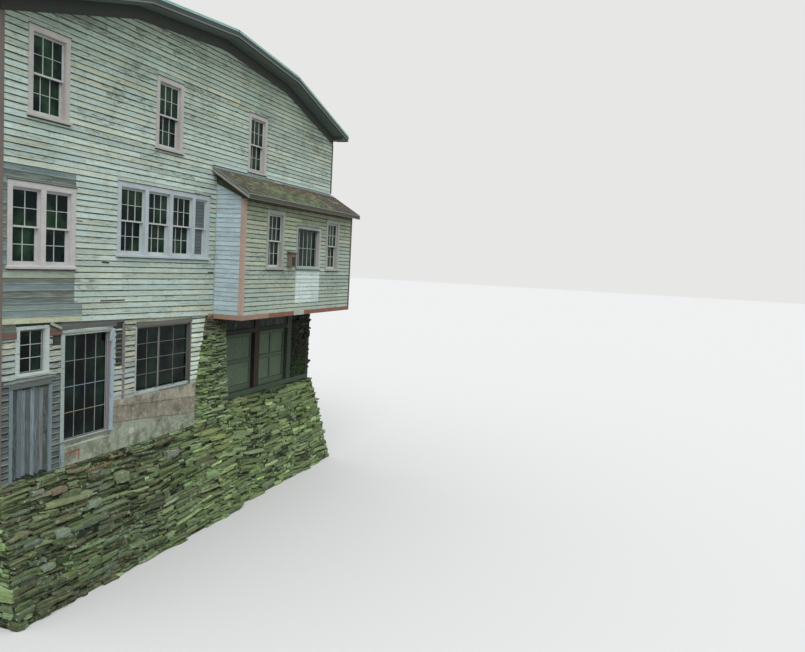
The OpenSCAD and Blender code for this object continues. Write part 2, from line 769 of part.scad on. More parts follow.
// A basement window: sill, lining, thin casing and one fixed sash
basement_sill_out = 35;
basement_sash_y = 35;
pane_frame_w = 30;
wide_mullion_w = 50;
module basement_window(w, h, casing = basement_casing, head = basement_head, mullion = 0) {
  translate([-casing, -basement_sill_out, -basement_sill_h])
    cube([w + 2 * casing, basement_sill_out, basement_sill_h]);
  translate([0, 0, -basement_sill_h]) cube([w, basement_t, basement_sill_h]);
  translate([-casing, -casing_t, 0]) difference() {
    cube([w + 2 * casing, casing_t, h + head]);
    translate([casing, -tiny, -tiny]) cube([w, casing_t + 2 * tiny, h + tiny]);
  }
  translate([0, -jamb_out, 0]) board_frame(w, h, jamb_t, jamb_t, jamb_t, basement_t + jamb_out);
  translate([jamb_t, basement_sash_y, jamb_t])
    board_frame(w - 2 * jamb_t, h - 2 * jamb_t, pane_frame_w, pane_frame_w, pane_frame_w, sash_t);
  if (mullion > 0)
    translate([mullion, basement_sash_y, jamb_t]) cube([wide_mullion_w, sash_t, h - 2 * jamb_t]);
}
module basement_windows() {
  color("gainsboro") place() translate([0, basement_in, base_z]) {
    translate([small_x, 0, small_z]) basement_window(small_w, small_h);
    translate([tall_x, 0, tall_z]) basement_window(tall_w, tall_h);
    translate([wide_x, 0, wide_z]) basement_window(wide_w, wide_h, thin_casing, thin_casing, wide_split);
  }
}
module hidden_windows(stations) {
  for (x = stations) {
    for (z = hidden_levels) translate([x, 0, z]) common_window(win_w, win_h);
    translate([x + small_inset, 0, base_z + small_z]) basement_window(small_w, small_h);
  }
}
module rear_windows() {
  color("gainsboro") place() on_rear() hidden_windows(rear_win_x);
}
module side_windows() {
  color("gainsboro") place() {
    on_left() hidden_windows(side_win_y);
    on_right() hidden_windows(side_win_y);
  }
}

module river_glass() {
  color("darkslategray") place() {
    for (x = upper_win_x) translate([x, 0, second_z + upper_sill]) common_glass(win_w, win_h);
    translate([pair_x, 0, first_z + pair_sill]) grouped_glass(pair_w, pair_h, pair_units);
    translate([band_x, 0, first_z + band_sill]) grouped_glass(band_w, band_h, band_fit);
  }
}
module jetty_glass() {
  color("darkslategray") place() {
    for (x = jetty_win_x)
      translate([x, -jetty_out, first_z + jetty_win_sill]) common_glass(win_w, jetty_win_h);
    translate([fixed_x + fixed_casing + jamb_t + sash_w, -jetty_out + fixed_y + (sash_t - glass_t) / 2,
      first_z + fixed_sill + sill_h + jamb_t + sash_w])
      cube([fixed_clear_w - 2 * sash_w, glass_t, fixed_clear_h - 2 * sash_w]);
  }
}
module basement_pane(w, h, mullion = 0) {
  inset = jamb_t + pane_frame_w;
  pane_y = basement_sash_y + (sash_t - glass_t) / 2;
  if (mullion > 0) {
    translate([inset, pane_y, inset]) cube([mullion - inset, glass_t, h - 2 * inset]);
    translate([mullion + wide_mullion_w, pane_y, inset])
      cube([w - inset - mullion - wide_mullion_w, glass_t, h - 2 * inset]);
  } else {
    translate([inset, pane_y, inset]) cube([w - 2 * inset, glass_t, h - 2 * inset]);
  }
}
module basement_glass() {
  color("darkslategray") place() translate([0, basement_in, base_z]) {
    translate([small_x, 0, small_z]) basement_pane(small_w, small_h);
    translate([tall_x, 0, tall_z]) basement_pane(tall_w, tall_h);
    translate([wide_x, 0, wide_z]) basement_pane(wide_w, wide_h, wide_split);
  }
}
module hidden_glass(stations) {
  for (x = stations) {
    for (z = hidden_levels) translate([x, 0, z]) common_glass(win_w, win_h);
    translate([x + small_inset, 0, base_z + small_z]) basement_pane(small_w, small_h);
  }
}
module rear_glass() {
  color("darkslategray") place() on_rear() hidden_glass(rear_win_x);
}
module side_glass() {
  color("darkslategray") place() {
    on_left() hidden_glass(side_win_y);
    on_right() hidden_glass(side_win_y);
  }
}

// Small wooden cupboard with a lean-to lid on the jetty wall, between two windows
box_w = 340;
box_h = 460;
box_out = 150;
box_fall = 40;
box_side = 45;
box_head = 110;
box_foot = 30;
box_panel_in = 20;
lid_out = 25;
lid_t = 25;
box_x = jetty_x + near_space + win_w + (box_space - box_w) / 2;
box_sill = 1100;
box_z = first_z + box_sill;
module wall_box() {
  back = -jetty_out;
  front = back - box_out;
  lip = front - lid_out;
  lip_z = box_z + box_h - box_fall * (box_out + lid_out) / box_out;
  front_z = box_z + box_h - box_fall - lid_t;
  color("brown") place() {
    difference() {
      side_plate([[front, box_z], [back, box_z], [back, box_z + box_h - lid_t], [front, front_z]],
        box_x, box_x + box_w);
      translate([box_x + box_side, front - tiny, box_z + box_foot])
        cube([box_w - 2 * box_side, box_panel_in + tiny, front_z - box_z - box_foot - box_head]);
    }
    side_plate([[lip, lip_z - lid_t], [back, box_z + box_h - lid_t], [back, box_z + box_h], [lip, lip_z]],
      box_x - lid_t, box_x + box_w + lid_t);
  }
}

// Loose pale board against the right side of the tall window
board_w = 100;
board_t = 22;
board_lean = 20;
board_gap = 10;
board_over = 20;
module leaning_board() {
  x0 = tall_x + tall_w + board_gap;
  z0 = base_z + tall_z;
  z1 = z0 + tall_h + board_over;
  face_y = basement_in - casing_t;
  color("lightblue") place()
    gable_plate([[x0, z0], [x0 + board_w, z0], [x0 + board_w + board_lean, z1], [x0 + board_lean, z1]],
      face_y - board_t, face_y);
}

// Hinges: a pintle on the frame stands in the eye of a strap on the back of the leaf
pin_r = 6;
pin_play = 0.3;
eye_r = 12;
eye_h = 50;
strap_t = 6;
// Place of each pin: in from the hinge edge of its leaf, and behind the leaf's back face
pin_side = 4;
pin_back = 15;
arm_t = 12;
arm_in = 3;
pin_over = 5;
eye_clear = 2;

// A pintle, drawn with the pin's axis at the origin and the eye's underside at its level
module pintle(reach) {
  translate([-reach, -eye_r + arm_in, -arm_t - pin_play])
    cube([reach + pin_r, 2 * (eye_r - arm_in), arm_t]);
  translate([0, 0, -arm_t]) cylinder(r = pin_r, h = arm_t + eye_h + pin_over);
}

// The same pintle on a plate that is fixed to the back of a post
module plate_pintle(reach) {
  plate_x = eye_r + eye_clear;
  pintle(reach);
  translate([-reach, -pin_back, -eye_h]) cube([reach - plate_x, strap_t + tiny, 3 * eye_h]);
}

// A strap with its eye, on the same origin
module strap_hinge(run) {
  difference() {
    union() {
      cylinder(r = eye_r, h = eye_h);
      translate([-pin_side, -pin_back, 0]) cube([run, strap_t, eye_h]);
    }
    translate([0, 0, -tiny]) cylinder(r = pin_r + pin_play, h = eye_h + 2 * tiny);
  }
}

// Jambs and head of the plank door, with the pintles of its leaf
leaf_in = 15;
leaf_y = basement_in + leaf_in;
door_hinge_z = [260, 1400];
module at_door_hinges() {
  for (z = door_hinge_z)
    translate([door_x + door_gap + pin_side, leaf_y + door_t + pin_back, base_z + z]) children();
}
module door_frame() {
  color("darkgray") place() {
    translate([door_x - frame_w, basement_in - casing_t, base_z]) difference() {
      cube([door_open_w + 2 * frame_w, basement_t + casing_t, door_h + frame_h]);
      translate([frame_w, -tiny, -tiny])
        cube([door_open_w, basement_t + casing_t + 2 * tiny, door_open_h + tiny]);
    }
    at_door_hinges() pintle(door_gap + pin_side + tiny);
  }
}

// Ledged leaf: boards in front, two ledges across the back beside the straps
ledge_h = 110;
ledge_t = 25;
ledge_in = 60;
ledge_gap = 20;
strap_share = 0.75;
module plank_door() {
  color("gray") place() {
    translate([door_x + door_gap, leaf_y, base_z + door_gap]) cube([door_w, door_t, door_h]);
    for (z = door_hinge_z + [eye_h + ledge_gap, -ledge_h - ledge_gap])
      translate([door_x + door_gap + ledge_in, leaf_y + door_t, base_z + z])
        cube([door_w - 2 * ledge_in, ledge_t, ledge_h]);
    at_door_hinges() strap_hinge(door_w * strap_share);
  }
}

// Bay leaves, whose backs lie flush with the backs of the posts
bay_leaf_y = bay_y + bay_post_t - bay_leaf_t;
bay_hinge_z = [220, 1400];
bay_strap_share = 0.8;
module at_near_hinges() {
  for (z = bay_hinge_z)
    translate([near_leaf_x + pin_side, bay_y + bay_post_t + pin_back, leaf_base_z + z]) children();
}
module at_far_hinges() {
  for (z = bay_hinge_z)
    translate([far_leaf_x + far_leaf_w - pin_side, bay_y + bay_post_t + pin_back, leaf_base_z + z])
      mirror([1, 0, 0]) children();
}
leaf_stile = 110;
leaf_top_rail = 100;
leaf_mid_rail = 120;
leaf_bottom_rail = 170;
panel_in = 22;
module bay_leaf(w, columns) {
  panel_w = (w - (columns + 1) * leaf_stile) / columns;
  panel_h = (bay_door_h - leaf_top_rail - leaf_mid_rail - leaf_bottom_rail) / 2;
  translate([0, bay_leaf_y, leaf_base_z + door_gap]) difference() {
    cube([w, bay_leaf_t, bay_door_h]);
    for (i = [0:columns - 1]) for (z = [leaf_bottom_rail, leaf_bottom_rail + panel_h + leaf_mid_rail])
      translate([leaf_stile + i * (panel_w + leaf_stile), -tiny, z])
        cube([panel_w, panel_in + tiny, panel_h]);
  }
}
module near_bay_door() {
  color("darkolivegreen") place() {
    translate([near_leaf_x, 0, 0]) bay_leaf(near_leaf_w, 1);
    at_near_hinges() strap_hinge(near_leaf_w * bay_strap_share);
  }
}
module far_bay_door() {
  color("darkolivegreen") place() {
    translate([far_leaf_x, 0, 0]) bay_leaf(far_leaf_w, 2);
    at_far_hinges() strap_hinge(far_leaf_w * bay_strap_share);
  }
}

river_foundation();
rear_foundation();
stone_pier();
concrete_infill();
basement_floor();
basement_corner_wall();
basement_wall_over_door();
basement_window_wall();
bay_framing();
bay_boarding();
first_floor();
second_floor();
river_wall_lower();
river_wall_upper();
left_wall();
right_wall();
rear_wall();
roof_left_eave_slope();
roof_left_top_slope();
roof_right_top_slope();
roof_right_eave_slope();
rake_boards();
eave_boxes();
frieze_boards();
corner_boards();
red_band();
jetty_floor();
jetty_front_wall();
jetty_side_walls();
jetty_roof();
jetty_trim();
upper_windows();
pair_window();
band_window();
jetty_windows();
jetty_fixed_window();
basement_windows();
rear_windows();
side_windows();
river_glass();
jetty_glass();
basement_glass();
rear_glass();
side_glass();
wall_box();
leaning_board();
door_frame();
plank_door();
near_bay_door();
far_bay_door();
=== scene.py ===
import math
import random

import bmesh
import bpy
import numpy as np
from mathutils import Matrix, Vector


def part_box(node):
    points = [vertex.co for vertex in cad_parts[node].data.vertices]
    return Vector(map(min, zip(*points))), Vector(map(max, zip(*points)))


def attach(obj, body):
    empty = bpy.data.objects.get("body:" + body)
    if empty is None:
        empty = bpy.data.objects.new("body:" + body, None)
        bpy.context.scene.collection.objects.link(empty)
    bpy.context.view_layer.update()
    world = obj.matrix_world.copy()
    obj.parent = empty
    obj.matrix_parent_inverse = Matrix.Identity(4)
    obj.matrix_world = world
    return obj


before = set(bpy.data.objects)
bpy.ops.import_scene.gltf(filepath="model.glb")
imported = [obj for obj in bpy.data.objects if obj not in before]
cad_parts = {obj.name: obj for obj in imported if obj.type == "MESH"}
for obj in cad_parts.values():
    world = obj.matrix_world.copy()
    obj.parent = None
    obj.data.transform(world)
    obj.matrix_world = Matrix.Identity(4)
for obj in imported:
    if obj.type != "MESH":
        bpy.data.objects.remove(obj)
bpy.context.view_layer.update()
print("frame loaded")

# Sizes of the mill in metres; places are measured from the near corner of the river wall
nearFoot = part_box("river_wall_lower")[0]
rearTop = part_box("rear_wall")[1]
mill = {
    "left": nearFoot.x,
    "front": nearFoot.y,
    "length": rearTop.x - nearFoot.x,
    "depth": rearTop.y - nearFoot.y,
    "base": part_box("rear_foundation")[1].z,
    "eave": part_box("eave_boxes")[1].z,
    "pier": 6.71,
    "basementIn": 0.04,
    "cornerBoard": 0.07,
    "foot": 5.59,
    "footSag": 0.14,
    "overRidge": 13.2,
    "pierHead": 5.45,
}
roof = {
    "outerPitch": 0.267, "innerPitch": 0.091, "outerRun": 3.62, "thick": 0.1903,
    "eaveOut": 0.41, "rakeOut": 0.42, "frieze": 0.3, "eaveFrieze": 0.18,
}
jetty = {
    "x": 7.01, "out": 0.85, "foot": 5.35, "band": 0.13, "head": 9.33, "fall": 0.62, "roofThick": 0.125,
    "roofX0": 6.76, "roofX1": 14.5, "roofOut": 1.1, "frieze": 0.15, "cornerBoard": 0.09,
    "sideTop": 9.2,
}


def seen(red, green, blue):  # a colour as it looks on screen, 0 to 255, in linear light
    return tuple(((v / 255 + 0.055) / 1.055) ** 2.4 if v > 10 else v / 3294 for v in (red, green, blue))


def between(first, second, share):
    return tuple(a + (b - a) * share for a, b in zip(first, second))


def lit(colour, share):
    return tuple(v * share for v in colour)


def clamp(value):
    return min(max(value, 0.0), 1.0)


def varied(rng, tone, light, wear):  # a board's colour in its own light, and its wear, each from a range
    return lit(tone, rng.uniform(*light)), rng.uniform(*wear)


def roofUnder(x):
    gap = min(x, mill["length"] - x)
    return (mill["eave"] + roof["outerPitch"] * min(gap, roof["outerRun"])
            + roof["innerPitch"] * max(0.0, gap - roof["outerRun"]))


def jettyUnder(out):
    return jetty["head"] - jetty["fall"] * out - jetty["roofThick"]


# Planes: each turns points given as along, out, up into the mill's frame
def planeOf(start, along, up):
    corner = np.array(start) + np.array((mill["left"], mill["front"], 0.0))
    alongWay, upWay = np.array(along, float), np.array(up, float)
    outWay = np.cross(alongWay, upWay)

    def place(points):
        return corner + points[:, :1] * alongWay + points[:, 1:2] * outWay + points[:, 2:3] * upWay
    return place


def flatWall(startX, startY, runX, runY):
    return planeOf((startX, startY, 0), (runX, runY, 0), (0, 0, 1))


def gableSlope(x0, x1, rear):  # along the underside of one roof slope, out from the gable wall
    first, second = (x1, x0) if rear else (x0, x1)
    run = np.array((second - first, 0.0, roofUnder(second) - roofUnder(first)))
    length = float(np.linalg.norm(run))
    run = run / length
    turn = -1 if rear else 1
    place = planeOf((first, mill["depth"] if rear else 0.0, roofUnder(first)), run,
                    (-run[2] * turn, 0.0, run[0] * turn))
    return place, length


riverWall = flatWall(0, 0, 1, 0)
basementWall = flatWall(0, mill["basementIn"], 1, 0)
leftWall = flatWall(0, mill["depth"], 0, -1)
rightWall = flatWall(mill["length"], 0, 0, 1)
rearWall = flatWall(mill["length"], mill["depth"], -1, 0)
jettyFront = flatWall(0, -jetty["out"], 1, 0)
jettyNear = flatWall(jetty["x"], 0, 0, -1)
jettyFar = flatWall(mill["length"], -jetty["out"], 0, 1)
roofBreaks = (-roof["eaveOut"], roof["outerRun"], mill["length"] / 2, mill["length"] - roof["outerRun"],
              mill["length"] + roof["eaveOut"])


# Node trees
def addNode(tree, kind, inputs=None, **settings):
    made = tree.nodes.new(kind)
    for key, value in settings.items():
        setattr(made, key, value)
    for key, value in (inputs or {}).items():
        if isinstance(value, bpy.types.NodeSocket):
            tree.links.new(value, made.inputs[key])
        else:
            made.inputs[key].default_value = value
    return made


def noise(tree, vector, scale, detail=4.0, rough=0.55):
    return addNode(tree, "ShaderNodeTexNoise",
                   {"Vector": vector, "Scale": scale, "Detail": detail, "Roughness": rough}).outputs["Fac"]


def stretch(tree, vector, by):
    return addNode(tree, "ShaderNodeVectorMath", {0: vector, 1: by}, operation="MULTIPLY").outputs[0]


def step(tree, value, low, high, toLow=0.0, toHigh=1.0):
    return addNode(tree, "ShaderNodeMapRange", {"Value": value, "From Min": low, "From Max": high,
                                                "To Min": toLow, "To Max": toHigh}).outputs["Result"]


def maths(tree, operation, first, second=0.0):
    return addNode(tree, "ShaderNodeMath", {0: first, 1: second}, operation=operation).outputs[0]


def plus(tree, first, second):
    return maths(tree, "ADD", first, second)


def minus(tree, first, second):
    return maths(tree, "SUBTRACT", first, second)


def times(tree, first, second):
    return maths(tree, "MULTIPLY", first, second)


def swing(tree, value, by):  # a noise turned to swing about zero
    return times(tree, minus(tree, value, 0.5), by)


def blendColour(tree, share, first, second, how="MIX"):
    made = addNode(tree, "ShaderNodeMix", data_type="RGBA", blend_type=how)
    for index, value in ((0, share), (6, first), (7, second)):
        if isinstance(value, bpy.types.NodeSocket):
            tree.links.new(value, made.inputs[index])
        else:
            made.inputs[index].default_value = value if index == 0 else (*value[:3], 1.0)
    return made.outputs[2]


def tint(tree, colour, value, low, high, share, tone, how="MIX"):  # tone comes in as value rises past low
    return blendColour(tree, step(tree, value, low, high, 0.0, share), colour, tone, how)


def axes(tree, vector):
    return addNode(tree, "ShaderNodeSeparateXYZ", {"Vector": vector}).outputs


def facing(tree):
    return axes(tree, addNode(tree, "ShaderNodeNewGeometry").outputs["Normal"])


def attribute(tree, name, output):
    return addNode(tree, "ShaderNodeAttribute", attribute_name=name).outputs[output]


def newMaterial(name, roughness, specular=0.3):
    material = bpy.data.materials.new(name)
    material.use_nodes = True
    tree = material.node_tree
    shader = tree.nodes["Principled BSDF"]
    shader.inputs["Roughness"].default_value = roughness
    shader.inputs["Specular IOR Level"].default_value = specular
    place = addNode(tree, "ShaderNodeTexCoord").outputs["Object"]
    return material, tree, shader, place


def setFinish(tree, shader, colour, height, depth):  # the colour, and the bump's height and depth
    tree.links.new(colour, shader.inputs["Base Color"])
    bump = addNode(tree, "ShaderNodeBump", {"Height": height, "Distance": depth})
    tree.links.new(bump.outputs["Normal"], shader.inputs["Normal"])


def zoneShare(tree, place, limits):  # 1 inside a box given by limits in the mill's frame
    share = None
    spread = axes(tree, place)
    for axis, (low, high) in limits.items():
        origin = {"X": mill["left"], "Y": mill["front"], "Z": 0.0}[axis]
        inside = times(tree, maths(tree, "GREATER_THAN", spread[axis], low + origin),
                       maths(tree, "LESS_THAN", spread[axis], high + origin))
        share = inside if share is None else times(tree, share, inside)
    return share


weatherAndShade = {
    "bare": seen(142, 154, 146), "bareDark": seen(84, 98, 90), "grime": seen(48, 58, 48),
    # lap: painted shade with some grime, for the angle under each board's butt
    "lap": seen(44, 60, 50), "rust": seen(148, 96, 62),
}


def woodRelief(tree, grain, fine, worn):  # raised grain, lower where the paint is gone
    return minus(tree, plus(tree, grain, times(tree, fine, 0.4)), times(tree, worn, 0.5))


# Boards carry their colour in tone, its wear in alpha, and their grain in along. The height over a
# board's lower edge is along's z without its whole metres, so that each course gets painted shade under the
# next
def boardMaterial(name, look):
    material, tree, shader, place = newMaterial(name, look.get("roughness", 0.82))
    tone, wear = attribute(tree, "tone", "Color"), attribute(tree, "tone", "Alpha")
    along = attribute(tree, "along", "Vector")
    grain = noise(tree, stretch(tree, along, (2.5, 60.0, 60.0)), 1.0, 5.0, 0.6)
    fine = noise(tree, stretch(tree, along, (14.0, 420.0, 420.0)), 1.0, 3.0)
    flakes = noise(tree, stretch(tree, along, (5.0, 38.0, 38.0)), 1.0, 6.0, 0.68)
    patches = noise(tree, stretch(tree, along, look.get("patchRun", (3.0, 9.0, 9.0))), 1.0, 4.0, 0.6)
    cloud = noise(tree, place, 0.8, 4.0, 0.6)
    drip = noise(tree, stretch(tree, place, (8.0, 8.0, 0.9)), 1.0, 4.0, 0.6)
    speck = noise(tree, place, 26.0, 3.0, 0.6)
    dust = noise(tree, place, 34.0, 4.0, 0.7)
    paint = tint(tree, tone, patches, 0.5, 0.68, look.get("mottle", 0.5),
                 look.get("second", seen(212, 210, 176)))
    paint = tint(tree, paint, cloud, 0.42, 0.66, 0.35, (0.62, 0.66, 0.6), "MULTIPLY")
    paint = tint(tree, paint, drip, 0.5, 0.74, look.get("drips", 0.12),
                 look.get("dripTone", seen(92, 110, 98)))
    paint = tint(tree, paint, grain, 0.44, 0.74, look.get("streaks", 0.5),
                 look.get("streak", seen(116, 132, 124)))
    bare = blendColour(tree, step(tree, grain, 0.3, 0.7), look.get("bareDark", weatherAndShade["bareDark"]),
                       look.get("bare", weatherAndShade["bare"]))
    limit = minus(tree, step(tree, wear, 0.0, 1.0, 0.74, 0.34), swing(tree, cloud, 0.42))
    worn = step(tree, minus(tree, flakes, limit), -0.05, 0.06, 0.0, 0.9)
    colour = blendColour(tree, worn, paint, bare)
    colour = tint(tree, colour, speck, 0.6, 0.74, look.get("specks", 0.3), weatherAndShade["grime"])
    colour = tint(tree, colour, dust, 0.42, 0.62, 0.3, (0.6, 0.62, 0.58), "MULTIPLY")
    colour = blendColour(tree, step(tree, fine, 0.3, 0.6, 0.16, 0.0), colour, weatherAndShade["bareDark"])
    if "lap" in look:  # painted shade, with some grime, in the angle under the next board and on the butt's underside, and a painted highlight along its lower edge
        lapFoot, lapShare = look["lap"]
        edgeShare, edgeTone = look.get("edge", (0.3, weatherAndShade["bare"]))
        height = maths(tree, "FRACT", axes(tree, along)["Z"])
        # painted highlight along each board's lower edge, in bare wood's tone unless the look gives another
        edge = times(tree, step(tree, height, 0.004, 0.03, edgeShare, 0.0), step(tree, grain, 0.3, 0.6))
        colour = blendColour(tree, edge, colour, edgeTone)
        # painted shade with some grime in the angle under the next board
        ragged = plus(tree, height, swing(tree, flakes, 0.05))
        shade = step(tree, ragged, lapFoot, lapFoot + 0.016, 0.0, lapShare)
        # painted shade on the butt's underside, where faces look down
        under = step(tree, facing(tree)["Z"], -0.7, -0.4, lapShare, 0.0)
        colour = blendColour(tree, maths(tree, "MAXIMUM", shade, under), colour,
                             look.get("lapShadeAndGrime", weatherAndShade["lap"]))
    setFinish(tree, shader, colour, woodRelief(tree, grain, fine, worn), look.get("relief", 0.003))
    return material


# A node of the frame made of boards. Its grain runs where the numbers are low; zones repaint boxes of it,
# and sash paints the faces that look out from deeper than the casings
def woodMaterial(name, look):
    material, tree, shader, place = newMaterial(name, 0.8)
    run = look.get("grain", (3.0, 55.0, 55.0))
    grain = noise(tree, stretch(tree, place, run), 1.0, 5.0, 0.6)
    fine = noise(tree, stretch(tree, place, tuple(6 * v for v in run)), 1.0, 2.0)
    flakes = noise(tree, stretch(tree, place, tuple(v * 0.5 + 8.0 for v in run)), 1.0, 6.0, 0.7)
    cloud = noise(tree, place, 2.2, 4.0, 0.6)
    speck = noise(tree, place, 30.0, 3.0, 0.6)
    paint = blendColour(tree, 0.0, look["paint"], look["paint"])
    for limits, zonePaint in look.get("zones", ()):
        paint = blendColour(tree, zoneShare(tree, place, limits), paint, zonePaint)
    if "sash" in look:
        axis, limit, test = look["sash"]
        depth = axes(tree, place)[axis]
        if axis == "X":
            depth = maths(tree, "ABSOLUTE", depth)
        deep = maths(tree, test, depth, limit)
        front = maths(tree, "GREATER_THAN", maths(tree, "ABSOLUTE", facing(tree)[axis]), 0.6)
        paint = blendColour(tree, times(tree, deep, front), paint, look["sashPaint"])
    second, how = (look["second"], "MIX") if "second" in look else ((0.62, 0.62, 0.62), "MULTIPLY")
    paint = tint(tree, paint, cloud, 0.42, 0.68, look.get("mottle", 0.35), second, how)
    paint = tint(tree, paint, grain, 0.4, 0.72, 0.2, weatherAndShade["bareDark"])
    bare = blendColour(tree, step(tree, grain, 0.3, 0.7), weatherAndShade["bareDark"], weatherAndShade["bare"])
    edge = 0.78 - 0.45 * look.get("wear", 0.2)
    worn = step(tree, flakes, edge - 0.03, edge + 0.03)
    colour = blendColour(tree, worn, paint, bare)
    colour = tint(tree, colour, speck, 0.6, 0.74, 0.35, weatherAndShade["grime"])
    setFinish(tree, shader, colour, woodRelief(tree, grain, fine, worn), 0.003)
    return material


# Flat stones with bedding, lichen and moss, a painted highlight on faces that look up and painted shade on
# faces that look down; tone holds their colour, its alpha the moss
def stoneMaterial(name, look):
    material, tree, shader, place = newMaterial(name, 0.92, 0.2)
    tone, moss = attribute(tree, "tone", "Color"), attribute(tree, "tone", "Alpha")
    along = attribute(tree, "along", "Vector")
    bedding = noise(tree, stretch(tree, along, (4.0, 9.0, 90.0)), 1.0, 5.0, 0.65)
    grit = noise(tree, place, 55.0, 5.0, 0.7)
    cloud = noise(tree, place, 6.5, 5.0, 0.62)
    field = noise(tree, place, 0.9, 3.0)
    patch = noise(tree, place, 10.0, 5.0, 0.62)
    up = facing(tree)["Z"]
    colour = tint(tree, tone, bedding, 0.36, 0.66, 0.7, look["deep"])
    colour = tint(tree, colour, cloud, 0.45, 0.7, 0.45, look["warm"])
    spread = plus(tree, patch, swing(tree, field, 0.35))
    colour = tint(tree, colour, spread, 0.59, 0.65, look.get("lichen", 0.7), look["pale"])
    # painted highlight: faces that look up take on the warm tone
    colour = tint(tree, colour, up, 0.1, 0.5, 0.3, look["warm"])
    growth = plus(tree, times(tree, up, 0.16), times(tree, moss, 0.42))
    for value, by in ((cloud, 0.9), (field, 0.8), (grit, 0.5)):
        growth = plus(tree, growth, swing(tree, value, by))
    colour = tint(tree, colour, growth, 0.26, 0.46, 0.75, look["moss"])
    colour = blendColour(tree, step(tree, grit, 0.32, 0.52, 0.6, 0.0), colour, look["deep"])
    # painted shade: faces that look down darken towards a dim deep tone
    under = step(tree, up, -0.4, 0.02, 0.92, 0.0)
    colour = blendColour(tree, under, colour, lit(look["deep"], 0.4))
    setFinish(tree, shader, colour, plus(tree, times(tree, bedding, 1.1), times(tree, grit, 0.6)), 0.012)
    return material


print("material helpers ready")


# Shapes that repeat: modelled once in a unit box, along x, outwards y, up z
def startCube():
    bpy.ops.object.select_all(action="DESELECT")
    bpy.ops.mesh.primitive_cube_add(size=1, location=(0.5, 0.5, 0.5))
    bpy.ops.object.transform_apply(location=True, rotation=True, scale=True)
    bpy.ops.object.mode_set(mode="EDIT")
    bpy.ops.mesh.select_mode(type="VERT")


def nudge(test, x=0.0, y=0.0, z=0.0):  # moves the vertices whose place passes the test
    mesh = bmesh.from_edit_mesh(bpy.context.object.data)
    bpy.ops.mesh.select_all(action="DESELECT")
    for vertex in mesh.verts:
        vertex.select_set(test(vertex.co))
    mesh.select_flush_mode()
    bmesh.update_edit_mesh(bpy.context.object.data)
    bpy.ops.transform.translate(value=(x, y, z))


def pickEdges(test):  # selects edges by their middle and their run
    mesh = bmesh.from_edit_mesh(bpy.context.object.data)
    bpy.ops.mesh.select_all(action="DESELECT")
    for edge in mesh.edges:
        first, second = edge.verts[0].co, edge.verts[1].co
        edge.select_set(test((first + second) / 2, second - first))
    bmesh.update_edit_mesh(bpy.context.object.data)


def pickFaces(test):  # selects faces by their middle and the way they look
    mesh = bmesh.from_edit_mesh(bpy.context.object.data)
    bpy.ops.mesh.select_all(action="DESELECT")
    for face in mesh.faces:
        face.select_set(test(face.calc_center_median(), face.normal))
    bmesh.update_edit_mesh(bpy.context.object.data)


def takeShape(mirrored=True):  # the planes mirror the unit box, so its faces are turned round
    bpy.ops.object.mode_set(mode="OBJECT")
    made = bpy.context.object
    points = np.array([v.co[:] for v in made.data.vertices])
    faces = [tuple(p.vertices) for p in made.data.polygons]
    mesh = made.data
    bpy.data.objects.remove(made)
    bpy.data.meshes.remove(mesh)
    return points, [face[::-1] for face in faces] if mirrored else faces


def cutEdges(cuts, test):
    pickEdges(test)
    bpy.ops.mesh.subdivide(number_cuts=cuts)


def cutAlong(cuts):
    cutEdges(cuts, lambda middle, run: abs(run.x) > 0.5)


def easeEdges(by, test):
    pickEdges(test)
    bpy.ops.mesh.bevel(offset=by, segments=1)


def wedgeShape(cuts):  # a clapboard: thick butt below, thin edge above
    startCube()
    nudge(lambda p: p.z > 0.9 and p.y > 0.9, y=-0.7)
    nudge(lambda p: p.z < 0.1 and p.y < 0.1, y=0.36)
    cutAlong(cuts)
    return takeShape()


def plankShape(cuts, ease=0.12):  # a board with its two front edges eased
    startCube()
    if cuts:
        cutAlong(cuts)
    easeEdges(ease, lambda middle, run: abs(run.x) > 0.01 and middle.y > 0.9)
    return takeShape()


def raggedShape(seed):  # a board whose ends are split and broken
    broken = random.Random(seed)
    startCube()
    cutAlong(3)
    cutEdges(2, lambda middle, run: abs(run.z) > 0.5)
    for end in (0.0, 1.0):
        for level in (0.0, 1 / 3, 2 / 3, 1.0):
            nudge(lambda p: abs(p.x - end) < 0.02 and abs(p.z - level) < 0.02,
                  x=(0.5 - end) * broken.uniform(0.0, 0.07))
    return takeShape()


def barShape():  # a window bar, narrow outside where the putty slopes
    startCube()
    nudge(lambda p: p.y > 0.9 and p.z > 0.5, z=-0.3)
    nudge(lambda p: p.y > 0.9 and p.z < 0.5, z=0.3)
    easeEdges(0.15, lambda middle, run: abs(run.x) > 0.5 and middle.y < 0.1)
    return takeShape()


